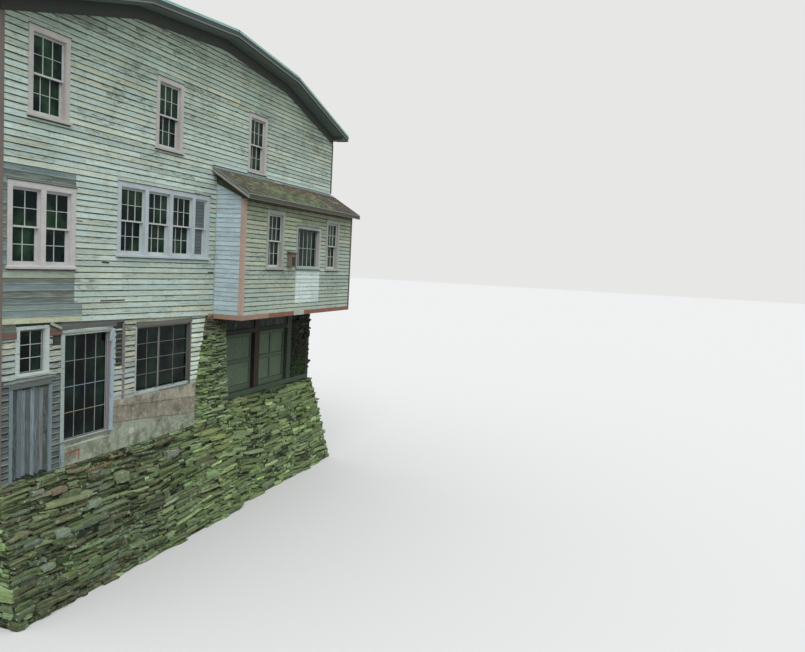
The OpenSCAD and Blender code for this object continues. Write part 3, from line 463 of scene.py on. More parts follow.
def stoneShape(seed):  # a flat split stone: slanting ends, a broken front and sharp edges
    broken = random.Random(seed)
    startCube()
    cutAlong(3)
    cutEdges(1, lambda middle, run: abs(run.z) > 0.5 and middle.y > 0.9)
    for level in (0.25, 0.5, 0.75):  # the front juts out by a different amount along its length
        nudge(lambda p: p.y > 0.9 and abs(p.x - level) < 0.02, y=broken.uniform(-0.22, 0.0))
        nudge(lambda p: p.y > 0.4 and abs(p.x - level) < 0.02 and p.z > 0.9, z=broken.uniform(-0.3, 0.02))
        nudge(lambda p: p.y > 0.4 and abs(p.x - level) < 0.02 and p.z < 0.1, z=broken.uniform(-0.02, 0.22))
    for end in (0.0, 1.0):
        for level in (0.0, 0.5, 1.0):
            nudge(lambda p: abs(p.x - end) < 0.02 and abs(p.z - level) < 0.02,
                  x=(0.5 - end) * broken.uniform(0.0, 0.22))
        nudge(lambda p: abs(p.x - end) < 0.12 and p.z > 0.9, z=-broken.uniform(0.0, 0.26))
        nudge(lambda p: abs(p.x - end) < 0.12 and p.z < 0.1, z=broken.uniform(0.0, 0.18))
        nudge(lambda p: abs(p.x - end) < 0.12 and p.y > 0.9, y=-broken.uniform(0.05, 0.3))
    nudge(lambda p: p.y > 0.5 and p.z > 0.62, y=-0.06)  # worn upper edge
    return takeShape()


wedge = wedgeShape(4)
plank = plankShape(4)
shortPlank = plankShape(0)
shingle = wedgeShape(0)
bar = barShape()
ragged = [raggedShape(seed) for seed in range(31, 35)]
stones = [stoneShape(seed) for seed in range(11, 21)]
print("shapes modelled")


# Copies of those shapes, laid on a wall as one joined mesh
def layCopies(name, shapes, spots, place, material, body="building", bend=None):
    allPoints, allFaces, allTones, allAlong = [], [], [], []
    count = 0
    for spot in spots:
        points, faces = shapes[spot.get("shape", 0)]
        local = points * np.array(spot["size"])
        allAlong.append(local + np.array(spot.get("shift", (0.0, 0.0, 0.0))))
        middle = 1 - (points[:, 0] * 2 - 1) ** 2  # 1 at mid length, 0 at both ends
        local[:, 1] += spot.get("bow", 0.0) * middle  # curls outwards along the length
        local[:, 2] -= spot.get("sag", 0.0) * middle
        local[:, 1] += local[:, 2] * spot.get("tip", 0.0)  # leans out towards its top
        local[:, 1] += local[:, 0] * spot.get("yaw", 0.0)  # one end further out than the other
        if spot.get("turn"):
            cos, sin = math.cos(spot["turn"]), math.sin(spot["turn"])
            x, z = local[:, 0].copy(), local[:, 2].copy()
            local[:, 0], local[:, 2] = x * cos - z * sin, x * sin + z * cos
        allPoints.append(local + np.array(spot["at"]))
        allFaces.extend(tuple(v + count for v in face) for face in faces)
        allTones.append(np.tile((*spot["tone"][:3], spot.get("wear", 0.3)), (len(points), 1)))
        count += len(points)
    points = np.concatenate(allPoints)
    if bend:
        points = bend(points)
    return makePiece(name, place(points), allFaces, material, body,
                     np.concatenate(allTones), np.concatenate(allAlong))


def makePiece(name, points, faces, material, body, tones, alongs):
    mesh = bpy.data.meshes.new(name)
    mesh.from_pydata(points.tolist(), [], faces)
    mesh.materials.append(material)
    mesh.attributes.new("tone", "FLOAT_COLOR", "POINT").data.foreach_set("color", tones.ravel())
    mesh.attributes.new("along", "FLOAT_VECTOR", "POINT").data.foreach_set("vector", alongs.ravel())
    piece = bpy.data.objects.new(name, mesh)
    bpy.context.scene.collection.objects.link(piece)
    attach(piece, body)
    return piece


def anyShift(rng):  # whole metres upwards, so that the height over the board's edge can be read back
    return (rng.uniform(0, 90), rng.uniform(0, 90), float(rng.randint(0, 90)))


def farShift(rng):
    return (rng.uniform(0, 90), rng.uniform(0, 90), rng.uniform(0, 90))


def board(rng, at, size, tone, wear=0.3, **more):  # a board lying along: place, size, tone and wear
    return {"at": at, "size": size, "tone": tone, "wear": wear, "shift": anyShift(rng), **more}


def upright(rng, at, size, tone, wear=0.3, **more):  # a board on end: its size is height, thickness, width
    x, out, z = at
    return board(rng, (x + size[2], out, z), size, tone, wear, turn=math.pi / 2, **more)


# Windows, as outer casing corner, size and the bars of each sash
window = {
    "casing": 0.11, "jamb": 0.015, "sill": 0.06, "sash": 0.038, "bottomRail": 0.06, "meeting": 0.034,
    "upperIn": 0.03, "lowerIn": 0.084, "mullion": 0.125, "barWide": 0.02, "barDeep": 0.026, "barIn": 0.003,
    "width": 1.04, "height": 1.65,
}
upperWindows = [(x, 9.4, window["width"], window["height"]) for x in (0.615, 4.375, 8.55)]
pairWindow = (0.17, 6.6, 1.7, 1.6)
bandWindow = (3.12, 6.89, 3.56, 1.63)
bandUnits = [(780, 3, 2)] * 3 + [(510, 1, 1)]
jettyWindows = [(x, 6.7, window["width"], 1.66) for x in (8.221, 12.22)]
fixedWindow = (10.07, 6.73, 1.71, 1.3)
fixedPane = {"side": 0.128, "foot": 0.113, "w": 1.454, "h": 1.059, "in": 0.097}
hiddenLevels = (6.6, 9.4)
rearStations = (1.555, 6.655, 11.755)
sideStations = (1.9, 5.3, 8.7)
basement = {
    "small": (0.52, 4.61, 0.64, 0.85), "tall": (1.67, 3.1, 1.33, 2.21), "wide": (3.91, 3.77, 2.1, 1.53),
    "casing": 0.095, "thinCasing": 0.045, "head": 0.06, "sill": 0.04, "sashIn": 0.038, "paneEdge": 0.045,
    "split": 0.88, "splitWide": 0.05, "door": (0.29, 2.6, 1.056, 1.86), "inset": 0.2,
    "concreteX": 1.575, "concreteStep": 3.095, "smallBars": (2, 3), "tallBars": (4, 4),
    "barWide": 0.024,
}


def sashPanes(x, z, w, h, columns, rows):  # both sashes of an opening whose clear corner is x, z
    meet = (h - window["meeting"]) / 2
    stile = window["sash"]
    wide = w - 2 * stile
    headZ = z + meet + window["meeting"]
    upper = (x + stile, headZ, wide, z + h - stile - headZ, window["upperIn"], columns, rows)
    lower = (x + stile, z + window["bottomRail"], wide, meet - window["bottomRail"], window["lowerIn"],
             columns, rows)
    return [upper, lower]


def clearHeight(h):
    return h - window["casing"] - window["sill"] - 2 * window["jamb"]


def commonPanes(x, z, w, h):
    edge = window["casing"] + window["jamb"]
    return sashPanes(x + edge, z + window["sill"] + window["jamb"], w - 2 * edge, clearHeight(h), 3, 2)


def groupPanes(box, units):  # units: share of the width, columns and rows
    x, z, w, h = box
    edge = window["casing"] + window["jamb"]
    clear = w - 2 * edge - (len(units) - 1) * window["mullion"]
    total = sum(unit[0] for unit in units)
    panes, at = [], x + edge
    for share, columns, rows in units:
        wide = clear * share / total
        panes += sashPanes(at, z + window["sill"] + window["jamb"], wide, clearHeight(h), columns, rows)
        at += wide + window["mullion"]
    return panes


def basementPanes(kind, at=None):
    x, z, w, h = basement[kind]
    x = x if at is None else at
    edge = basement["paneEdge"]
    if kind == "wide":
        split, right = basement["split"], basement["split"] + basement["splitWide"]
        lights = [(x + edge, split - edge, 2, 4), (x + right, w - edge - right, 2, 4)]
    else:
        lights = [(x + edge, w - 2 * edge, *basement[kind + "Bars"])]
    return [(start, z + edge, wide, h - 2 * edge, basement["sashIn"], columns, rows)
            for start, wide, columns, rows in lights]


def barSpots(panes, paintOf, seed, wide=None):
    rng = random.Random(seed)
    wide = wide or window["barWide"]
    deep = window["barDeep"]
    spots = []
    for x, z, w, h, inset, columns, rows in panes:
        out = -inset - window["barIn"] - deep
        for i in range(1, columns):
            tone, wear = paintOf(rng, i, False)
            spots.append(upright(rng, (x + w * i / columns - wide / 2, out, z), (h, deep, wide), tone, wear))
        for i in range(1, rows):
            tone, wear = paintOf(rng, i, True)
            spots.append(board(rng, (x, out, z + h * i / rows - wide / 2), (w, deep, wide), tone, wear))
    return spots


def hiddenPanes(stations):
    panes = []
    for x in stations:
        for z in hiddenLevels:
            panes += commonPanes(x, z, window["width"], window["height"])
        panes += basementPanes("small", x + basement["inset"])
    return panes


def whiteBar(rng, i, level):
    return varied(rng, seen(226, 230, 226), (0.9, 1.04), (0.02, 0.18))


def agedBar(rng, i, level):  # grey, with the second level bar bluish and the lowest yellowish
    tone = seen(156, 160, 154)
    if level:
        tone = {3: seen(150, 152, 144), 2: seen(140, 162, 190), 1: seen(158, 156, 118)}[i]
    return varied(rng, tone, (0.8, 1.05), (0.15, 0.45))


def rustyBar(rng, i, level):
    tone = between(seen(132, 130, 124), weatherAndShade["rust"], rng.uniform(0.0, 0.45))
    return varied(rng, tone, (0.75, 1.0), (0.2, 0.5))


barPaint = boardMaterial("barPaint", {"specks": 0.15, "mottle": 0.1, "drips": 0.1, "streaks": 0.15,
                                      "relief": 0.001})
fixedBox = (fixedWindow[0] + fixedPane["side"], fixedWindow[1] + fixedPane["foot"], fixedPane["w"],
            fixedPane["h"], fixedPane["in"], 5, 2)
riverPanes = [pane for box in upperWindows for pane in commonPanes(*box)]
riverPanes += groupPanes(pairWindow, [(1, 2, 2), (1, 2, 2)]) + groupPanes(bandWindow, bandUnits)
jettyPanes = [pane for box in jettyWindows for pane in commonPanes(*box)] + [fixedBox]
basementBars = barSpots(basementPanes("small"), whiteBar, 5)
for kind, paintOf, seed in (("tall", agedBar, 6), ("wide", rustyBar, 16)):
    basementBars += barSpots(basementPanes(kind), paintOf, seed, basement["barWide"])
for name, spots, plane in (("riverWindowBars", barSpots(riverPanes, whiteBar, 3), riverWall),
                           ("jettyWindowBars", barSpots(jettyPanes, whiteBar, 4), jettyFront),
                           ("basementWindowBars", basementBars, basementWall),
                           ("rearWindowBars", barSpots(hiddenPanes(rearStations), whiteBar, 7), rearWall),
                           ("leftWindowBars", barSpots(hiddenPanes(sideStations), whiteBar, 8), leftWall),
                           ("rightWindowBars", barSpots(hiddenPanes(sideStations), whiteBar, 9), rightWall)):
    layCopies(name, [bar], spots, plane, barPaint)
print("window bars laid")


# Dark caps over the casings, partly a painted shadow line, and dark strips under the sills, painted shade
# with some grime
capBoard = {"over": 0.012, "out": 0.042, "thick": 0.014, "sillShadeAndGrimeOut": 0.026, "sillShadeAndGrime": 0.02, "ear": 0.02}


def capSpots(boxes, seed):
    rng = random.Random(seed)
    over, ear, sillShadeAndGrime = capBoard["over"], capBoard["ear"], capBoard["sillShadeAndGrime"]
    spots = []
    for x, z, w, h in boxes:
        # the cap's dark colour is partly a painted shadow line over the casing; the strip under the sill is
        # painted shade with some grime
        spots.append(board(rng, (x - over, 0.0, z + h), (w + 2 * over, capBoard["out"], capBoard["thick"]),
                           seen(52, 50, 46), 0.2))
        spots.append(board(rng, (x - ear, 0.0, z - sillShadeAndGrime), (w + 2 * ear, capBoard["sillShadeAndGrimeOut"], sillShadeAndGrime),
                           seen(58, 64, 58), 0.2))
    return spots


trimPaint = boardMaterial("trimBoards", {"mottle": 0.25, "second": seen(120, 116, 104), "drips": 0.3})


def hiddenCasings(stations):
    return [(x, z, window["width"], window["height"]) for x in stations for z in hiddenLevels]


for name, boxes, plane, seed in (("riverWindowCapsAndSillShade", [*upperWindows, pairWindow, bandWindow], riverWall, 51),
                                 ("jettyWindowCapsAndSillShade", [*jettyWindows, fixedWindow], jettyFront, 52),
                                 ("rearWindowCapsAndSillShade", hiddenCasings(rearStations), rearWall, 53),
                                 ("leftWindowCapsAndSillShade", hiddenCasings(sideStations), leftWall, 54),
                                 ("rightWindowCapsAndSillShade", hiddenCasings(sideStations), rightWall, 55)):
    layCopies(name, [plank], capSpots(boxes, seed), plane, trimPaint)


# Clapboards
siding = {"exposure": 0.121, "lap": 0.026, "butt": 0.021, "shortest": 0.9, "longest": 3.8, "sliver": 0.014,
          "joint": 0.0012, "shortEnd": 0.6, "narrowest": 0.015}


def freeRuns(runs, start, end):  # what is left of the runs without start to end
    left = []
    for a, b in runs:
        if end <= a or start >= b:
            left.append((a, b))
            continue
        if start > a:
            left.append((a, start))
        if end < b:
            left.append((end, b))
    return [(a, b) for a, b in left if b - a > siding["narrowest"]]


# An area has a start, end, foot and top, and may have openings, topAt or endAt where it slopes, and
# rough, which makes its boards uneven
def clapboardSpots(area, paintOf, seed):
    rng = random.Random(seed)
    spots = []
    low = area["foot"]
    rough = area.get("rough", 1.0)
    while low < area["top"] - siding["sliver"]:
        high = low + siding["exposure"]
        end = area["endAt"](low) if "endAt" in area else area["end"]
        runs = [(area["start"], end)]
        if "topAt" in area:
            inside = [u for u in np.arange(area["start"], end, 0.05) if area["topAt"](u) > low + 0.01]
            if not inside:
                break
            runs = [(inside[0], min(inside[-1] + 0.05, end))]
        rows = []
        for x, z, w, h in area.get("openings", ()):
            if min(high, z + h) - max(low, z) < 0.002:
                continue
            runs = freeRuns(runs, x, x + w)
            a, b = max(area["start"], x), min(end, x + w)
            if b - a > siding["narrowest"]:  # what the opening leaves of the course under and over it
                if z - low > siding["sliver"]:
                    rows.append((a, b, low, z - low))
                if high - z - h > siding["sliver"]:
                    rows.append((a, b, z + h, high + siding["lap"] - z - h))
        for a, b in runs:
            at = a
            while at < b:
                length = rng.uniform(siding["shortest"], siding["longest"])
                if b - at - length < siding["shortest"] * siding["shortEnd"]:
                    length = b - at
                rows.append((at, at + length, low, siding["exposure"] + siding["lap"]))
                at += length
        for a, b, z, height in rows:
            paint, wear = paintOf((a + b) / 2, z, rng)
            at = (a + siding["joint"], rng.uniform(-0.001, 0.001), z + rng.uniform(-0.0025, 0.0025) * rough)
            butt = siding["butt"] * rng.uniform(0.92, 1.08 + 0.2 * (rough - 1))
            size = (b - a - 2 * siding["joint"], butt, min(height, area["top"] - z))
            turn, bow = rng.uniform(-0.0009, 0.0009) * rough, rng.uniform(-0.001, 0.0035) * rough
            sag = rng.uniform(-0.002, 0.003) * rough
            spots.append(board(rng, at, size, paint, wear, turn=turn, bow=bow, sag=sag))
        low = high
    return spots


def layClapboards(name, area, paintOf, seed, plane, material, bend=None):
    layCopies(name, [wedge], clapboardSpots(area, paintOf, seed), plane, material, bend=bend)


paints = {
    "pale": seen(204, 232, 230), "palest": seen(226, 244, 236), "green": seen(164, 190, 168),
    "cream": seen(224, 224, 190), "blue": seen(112, 144, 160), "slate": seen(96, 108, 114),
    "greyWood": seen(112, 122, 124), "lavender": seen(202, 222, 228),
}


def sidingPaint(x, z, rng):  # pale blue-green, creamier low down, greener and more worn under the roof
    high = clamp((z - 9.4) / 2.6)
    base = between(paints["pale"], paints["green"], 0.1 + 0.75 * high)
    cream = rng.random() < 0.26 + 0.2 * (z < 7.6)
    base = between(base, paints["cream"], rng.uniform(0.25, 0.7) if cream else rng.uniform(0.0, 0.2))
    base = between(base, paints["palest"], rng.uniform(0.0, 0.45) * (1 - high))
    return lit(base, rng.uniform(0.82, 1.08) * (1 - 0.08 * high)), rng.uniform(0.1, 0.44) + 0.24 * high


newerRows = [  # tones of the newer courses, from the foot up
    (seen(208, 214, 182), 0.2), (seen(128, 152, 160), 0.3), (seen(124, 146, 152), 0.3),
    (seen(98, 114, 118), 0.4), (seen(102, 104, 100), 0.4), (seen(120, 144, 156), 0.3),
    (seen(112, 120, 114), 0.4), (seen(176, 190, 172), 0.3),
]
newerUpper = [(seen(128, 146, 138), 0.4), (seen(94, 104, 108), 0.45), (seen(112, 136, 144), 0.4)]
patch = {"end": 1.87, "lowEnd": 2.1, "lowTop": 3, "top": 24, "under": 5.4}


def newerPaint(x, z, rng):
    row = int((z - mill["foot"]) / siding["exposure"] + 0.1)
    if row < len(newerRows):
        tone, wear = newerRows[row]
    elif row > 20:
        tone, wear = newerUpper[(row - 21) % len(newerUpper)]
    else:
        tone, wear = rng.choice([(paints["blue"], 0.3), (paints["greyWood"], 0.3), (paints["slate"], 0.4)])
    return lit(tone, rng.uniform(0.92, 1.06)), wear


clapboard = boardMaterial("clapboardPaint", {"lap": (0.09, 0.9), "edge": (0.45, seen(222, 220, 178))})
newerBoard = boardMaterial("newerClapboard", {
    "lap": (0.108, 0.6), "lapShadeAndGrime": seen(150, 156, 128), "mottle": 0.6, "second": seen(150, 160, 146),
    "edge": (0.6, seen(180, 186, 158)), "patchRun": (1.4, 16.0, 16.0), "streak": seen(170, 180, 164)})


def riverBend(points):  # the lower courses follow the sagging foot
    share = np.clip((pairWindow[1] - points[:, 2]) / (pairWindow[1] - mill["foot"]), 0.0, 1.0)
    points[:, 2] -= share * mill["footSag"] * np.clip(points[:, 0], 0.0, mill["pier"]) / mill["pier"]
    return points


def courseFoot(count):
    return mill["foot"] + count * siding["exposure"]


riverEdge = mill["cornerBoard"]
patchHead = courseFoot(patch["lowTop"])
lowPatch = (riverEdge, patch["under"], patch["lowEnd"] - riverEdge, patchHead - patch["under"])
highPatch = (riverEdge, patchHead, patch["end"] - riverEdge,
             (patch["top"] - patch["lowTop"]) * siding["exposure"])
jettyOpening = [(jetty["x"], 5.3, mill["length"] - jetty["x"], jetty["head"] - 5.27),
                (jetty["roofX0"], jettyUnder(0.0) - 0.01, mill["length"] - jetty["roofX0"], 0.165),
                (mill["pier"] + 0.06, 5.3, 0.24, 0.19)]
riverOpenings = [*upperWindows, pairWindow, bandWindow, *jettyOpening]


def gableHead(u):
    return roofUnder(u) - roof["frieze"] + 0.03


layClapboards("riverClapboards", {"start": riverEdge, "end": mill["length"] - riverEdge, "foot": mill["foot"],
                                  "top": mill["overRidge"], "openings": [*riverOpenings, lowPatch, highPatch],
                                  "topAt": gableHead}, sidingPaint, 21, riverWall, clapboard, riverBend)
newerSpots = clapboardSpots({"start": riverEdge, "end": patch["lowEnd"], "foot": mill["foot"],
                             "top": patchHead}, newerPaint, 61)
newerSpots += clapboardSpots({"start": riverEdge, "end": patch["end"], "foot": patchHead,
                              "top": courseFoot(patch["top"]), "openings": [pairWindow]}, newerPaint, 62)
layCopies("newerClapboards", [wedge], newerSpots, riverWall, newerBoard, bend=riverBend)


def hiddenOpenings(stations):
    side, foot = basement["casing"], basement["sill"]
    x, z, w, h = basement["small"]
    return hiddenCasings(stations) + [(at + basement["inset"] - side, z - foot, w + 2 * side,
                                       h + foot + basement["head"]) for at in stations]


sideTop = roofUnder(-roof["eaveOut"]) - roof["eaveFrieze"] + 0.01
bayCorner = (-1.0, 2.0, 1.82, 3.46)
hiddenArea = {"start": riverEdge, "foot": mill["base"] + 0.01}
for name, plane, openings, seed in (("leftClapboards", leftWall, [], 24),
                                    ("rightClapboards", rightWall, [bayCorner], 25)):
    layClapboards(name, {**hiddenArea, "end": mill["depth"] - riverEdge, "top": sideTop,
                         "openings": hiddenOpenings(sideStations) + openings},
                  sidingPaint, seed, plane, clapboard)
layClapboards("rearClapboards", {**hiddenArea, "end": mill["length"] - riverEdge, "top": mill["overRidge"],
                                 "openings": hiddenOpenings(rearStations), "topAt": gableHead},
              sidingPaint, 26, rearWall, clapboard)


def jettyPaint(x, z, rng):  # yellowish green under its eave, paler below
    high = clamp((z - 6.9) / 1.5)
    base = between(seen(184, 204, 194), seen(146, 158, 122), high)
    cream = rng.random() < 0.35
    base = between(base, paints["cream"], rng.uniform(0.2, 0.6) if cream else 0.05)
    return varied(rng, base, (0.84, 1.06), (0.1, 0.42))


def whitePaint(x, z, rng):
    return varied(rng, seen(236, 252, 248), (0.94, 1.04), (0.0, 0.3))


# pale paint on the jetty's sides with a painted lavender cast of cool skylight
def skylitLavenderPaint(x, z, rng):
    return varied(rng, paints["lavender"], (0.9, 1.06), (0.05, 0.3))


jettyFoot = jetty["foot"] + jetty["band"] - 0.005
jettyTop = jettyUnder(jetty["out"]) - jetty["frieze"] + 0.01
whiteFoot = jettyFoot + siding["exposure"] * 2
whiteArea = (10.1, whiteFoot, 1.7, fixedWindow[1] - whiteFoot)
jettyBoards = boardMaterial("jettyClapboard", {"lap": (0.09, 0.92), "lapShadeAndGrime": seen(38, 50, 40)})
whiteBoards = boardMaterial("whitenedBoard", {"lap": (0.106, 0.75), "mottle": 0.1, "drips": 0.2,
                                              "specks": 0.3})
layClapboards("jettyClapboards", {"start": jetty["x"] + jetty["cornerBoard"],
                                  "end": mill["length"] - jetty["cornerBoard"],
                                  "foot": jettyFoot, "top": jettyTop,
                                  "openings": [*jettyWindows, fixedWindow, whiteArea]},
              jettyPaint, 27, jettyFront, jettyBoards)
layClapboards("whitenedClapboards", {"start": whiteArea[0], "end": whiteArea[0] + whiteArea[2],
                                     "foot": whiteArea[1], "top": fixedWindow[1],
                                     "openings": [(fixedWindow[0], fixedWindow[1] - 0.002,
                                                   fixedWindow[2], 0.5)]},
              whitePaint, 63, jettyFront, whiteBoards)


def jettyCheek(u):  # the jetty's sides end under their sloping friezes
    wall, front = jettyUnder(0) - 2 * jetty["frieze"], jettyUnder(jetty["out"]) - jetty["frieze"]
    return wall + (front - wall) * u / jetty["out"] + 0.06


cheekBoards = boardMaterial("cheekBoard", {"lap": (0.104, 0.7), "lapShadeAndGrime": seen(110, 104, 108), "mottle": 0.5,
                                           "second": seen(160, 180, 196), "streak": seen(150, 156, 166)})
cheekArea = {"foot": jettyFoot, "top": jetty["sideTop"]}
layClapboards("jettyNearBoards", {**cheekArea, "start": 0.03, "end": jetty["out"] - jetty["cornerBoard"],
                                  "topAt": jettyCheek}, skylitLavenderPaint, 28, jettyNear, cheekBoards)
layClapboards("jettyFarBoards", {**cheekArea, "start": jetty["cornerBoard"], "end": jetty["out"],
                                 "topAt": lambda u: jettyCheek(jetty["out"] - u)},
              skylitLavenderPaint, 29, jettyFar, cheekBoards)
print("clapboards laid")


# Basement siding: cream boards above, bare and curled ones beside the door
def opening(kind, side, head):
    x, z, w, h = basement[kind]
    return (x - side, z - basement["sill"], w + 2 * side, h + basement["sill"] + head)


ragHole = (1.346, 5.09, 0.229, 0.22)
slatHole = (3.2, 4.48, 0.225, 0.79)
pierSlope = {"top": mill["pierHead"], "foot": 3.7, "x": 6.34}


def pierStart(z):  # the pier's stones spread over the end of the wall lower down
    share = clamp((pierSlope["top"] - z) / (pierSlope["top"] - pierSlope["foot"]))
    return mill["pier"] + (pierSlope["x"] - mill["pier"]) * share


def basementPaint(x, z, rng):
    if x < 1.58 and z < 4.5:
        dark = between(paints["greyWood"], paints["slate"], rng.uniform(0.0, 0.8))
        return varied(rng, dark, (0.45, 0.95), (0.25, 0.5))
    base = between(paints["cream"], seen(190, 204, 202), rng.uniform(0.1, 1.0))
    if x > 6.0:
        return varied(rng, between(base, seen(232, 246, 228), 0.85), (1.1, 1.3), (0.02, 0.2))
    return varied(rng, base, (0.86, 1.06), (0.2, 0.5))


basementOpenings = [
    basement["door"],
    opening("small", basement["casing"], basement["head"]),
    opening("tall", basement["casing"], basement["head"]),
    opening("wide", basement["thinCasing"], basement["thinCasing"]),
    (basement["concreteX"], 2.6, 1.52, 0.46), (basement["concreteStep"], 2.6, 3.7, 1.13), ragHole, slatHole,
    (3.0, 3.0, 0.14, 2.7), (1.575, 5.3, 1.9, 0.4),
]
curledBoards = boardMaterial("curledClapboard", {"lap": (0.084, 0.95), "lapShadeAndGrime": seen(30, 34, 30),
                                                 "bare": seen(128, 136, 138), "mottle": 0.25,
                                                 "edge": (0.6, seen(176, 186, 186))})
layClapboards("basementClapboards",
              {"start": riverEdge, "end": mill["pier"], "foot": mill["base"] + 0.01, "top": 5.5, "rough": 2.8,
               "openings": basementOpenings, "endAt": lambda z: pierStart(z) + 0.05},
              basementPaint, 31, basementWall, curledBoards)


# Odd boards of the basement wall, each at its own place
def oddBasementBoards():
    rng = random.Random(71)
    grey, mauve, pale = seen(122, 130, 130), seen(104, 100, 104), seen(170, 190, 198)
    rust = weatherAndShade["rust"]
    spots = [
        board(rng, (1.585, 0.0, 5.372), (1.63, 0.024, 0.095), mauve, 0.4, sag=0.006),
        board(rng, (1.58, 0.0, 5.462), (1.88, 0.02, 0.08), grey, 0.35, turn=-0.004),
        board(rng, (1.58, 0.028, 5.312), (1.5, 0.012, 0.03), seen(168, 188, 186), 0.2),
        board(rng, (riverEdge, 0.004, 5.41), (0.36, 0.03, 0.1), seen(124, 128, 118), 0.5),
        board(rng, (riverEdge, 0.0, 5.5), (0.36, 0.022, 0.11), seen(142, 144, 130), 0.5),
        board(rng, (riverEdge, 0.012, 5.3), (0.37, 0.026, 0.115), seen(128, 86, 74), 0.1),
        board(rng, (1.255, 0.004, 5.41), (0.32, 0.022, 0.11), seen(112, 116, 108), 0.5),
        board(rng, (1.255, 0.012, 5.3), (0.33, 0.024, 0.115), seen(124, 84, 72), 0.1),
        board(rng, (0.13, 0.018, 4.462), (1.3, 0.03, 0.045), seen(150, 160, 154), 0.4, turn=0.012),
        board(rng, (0.3, 0.028, 4.36), (1.04, 0.012, 0.09), seen(112, 116, 112), 0.5, shape=1),
        board(rng, (1.235, 0.052, 5.52), (0.32, 0.018, 0.055), seen(186, 188, 176), 0.3, turn=-0.36, shape=2),
        upright(rng, (basement["concreteX"], 0.025, 2.602), (0.465, 0.024, 0.095), pale, 0.3),
        upright(rng, (3.42, 0.006, 3.735), (1.69, 0.024, 0.085), seen(142, 130, 130), 0.4),
        upright(rng, (3.145, 0.0, 3.74), (1.56, 0.012, 0.05), seen(86, 92, 92), 0.6),
        board(rng, (3.885, 0.03, 5.325), (2.18, 0.018, 0.105), seen(118, 114, 104), 0.5, sag=0.022),
        board(rng, (3.9, 0.03, 5.302), (2.14, 0.01, 0.026), between(rust, grey, 0.45), 0.3, sag=0.018),
        upright(rng, (6.008, 0.03, 4.35), (0.96, 0.006, 0.05), between(rust, grey, 0.75), 0.4),
        upright(rng, (6.012, 0.03, 3.77), (0.58, 0.006, 0.045), mauve, 0.4),
        board(rng, (3.02, 0.05, 5.06), (0.22, 0.016, 0.07), seen(176, 196, 204), 0.2, turn=1.38),
        board(rng, (4.79, 0.022, 3.72), (1.2, 0.02, 0.03), seen(128, 132, 128), 0.5),
    ]
    x, z, w, h = slatHole
    spots.append(board(rng, (x, -0.002, z), (w, 0.006, h), seen(26, 30, 28), 0.0))
    level = z + 0.05
    while level < z + h - 0.05:
        tone = between(grey, rust, 0.7) if abs(level - z - 0.62) < 0.08 else lit(grey, rng.uniform(0.6, 0.95))
        length = w * rng.uniform(0.85, 1.0)
        spots.append(board(rng, (x - 0.005, 0.006, level), (length, 0.014, 0.032), tone, 0.5,
                           turn=rng.uniform(-0.04, 0.03), shape=rng.choice([2, 3])))
        level += rng.uniform(0.085, 0.13)
    x, z, w, h = ragHole
    spots.append(board(rng, (x, -0.002, z), (w, 0.006, h), seen(34, 36, 34), 0.0))
    return spots


oddBoards = boardMaterial("oddBoards", {"streaks": 0.6, "mottle": 0.2, "second": seen(110, 104, 92),
                                        "specks": 0.5, "drips": 0.2, "bare": seen(120, 124, 120)})
layCopies("oddBasementBoards", [plank, ragged[0], ragged[1], ragged[2]], oddBasementBoards(), basementWall,
          oddBoards)


def brickSpots():  # what is left of a brick course in the concrete
    rng = random.Random(72)
    tone = seen(196, 92, 62)
    spots = [board(rng, (1.72 + 0.1 * i, 0.018, 2.845 + 0.004 * i), (0.095, 0.014, 0.026),
                   lit(tone, 1 - 0.12 * i), 0.1, turn=0.05) for i in range(4)]
    spots += [upright(rng, (2.09 + 0.012 * (i % 2), 0.018, 2.66 + 0.052 * i), (0.048, 0.012, 0.03), tone, 0.2)
              for i in range(4)]
    return spots


layCopies("brickTraces", [shortPlank], brickSpots(), basementWall, oddBoards)


# Loose and broken boards on the river wall, the strip beside the jetty and the boarded sash
def oddRiverBoards():
    rng = random.Random(73)
    dark = seen(34, 38, 34)
    marks = ((2.66, 6.75, 0.22, -0.06), (2.62, 5.93, 0.8, -0.004), (6.68, 6.56, 0.27, -0.03),
             (7.8, 10.9, 0.12, 0.05))
    spots = [board(rng, (x, 0.014, z), (length, 0.01, 0.03), dark, 0.0, turn=turn, shape=1)
             for x, z, length, turn in marks]
    spots.append(board(rng, (1.9, 0.018, 7.57), (0.16, 0.008, 0.018), weatherAndShade["rust"], 0.2, turn=-0.05,
                       shape=2))
    spots.append(board(rng, (5.98, 0.02, 8.555), (0.73, 0.022, 0.07), seen(190, 200, 186), 0.3, turn=-0.05,
                       shape=3))
    spots.append(upright(rng, (jetty["x"] - 0.028, 0.0, jettyFoot), (3.45, 0.03, 0.026),
                         seen(186, 182, 172), 0.3))
    return spots


layCopies("oddRiverBoards", [plank, ragged[1], ragged[2], ragged[3]], oddRiverBoards(), riverWall, oddBoards)
slatUnit = {"pitch": 0.088, "over": 0.012}


def slatSpots():  # over the panes of the last unit
    rng = random.Random(74)
    spots = []
    for x, z, w, h, inset, columns, rows in groupPanes(bandWindow, bandUnits)[-2:]:
        count = round(h / slatUnit["pitch"])
        high = h / count
        for i in range(count):
            spots.append(board(rng, (x, -inset - slatUnit["over"], z + high * i), (w, 0.008, high * 0.94),
                               lit(seen(106, 114, 120), rng.uniform(0.75, 1.1)), 0.2, tip=-0.05))
    return spots


layCopies("sashSlats", [shortPlank], slatSpots(), riverWall, oddBoards)


# The plank door: its boards have ragged feet, and they swing with the leaf
plankDoor = {"x": 0.38, "w": 0.876, "foot": 2.61, "head": 4.366, "face": -0.0145, "thick": 0.011, "count": 8}


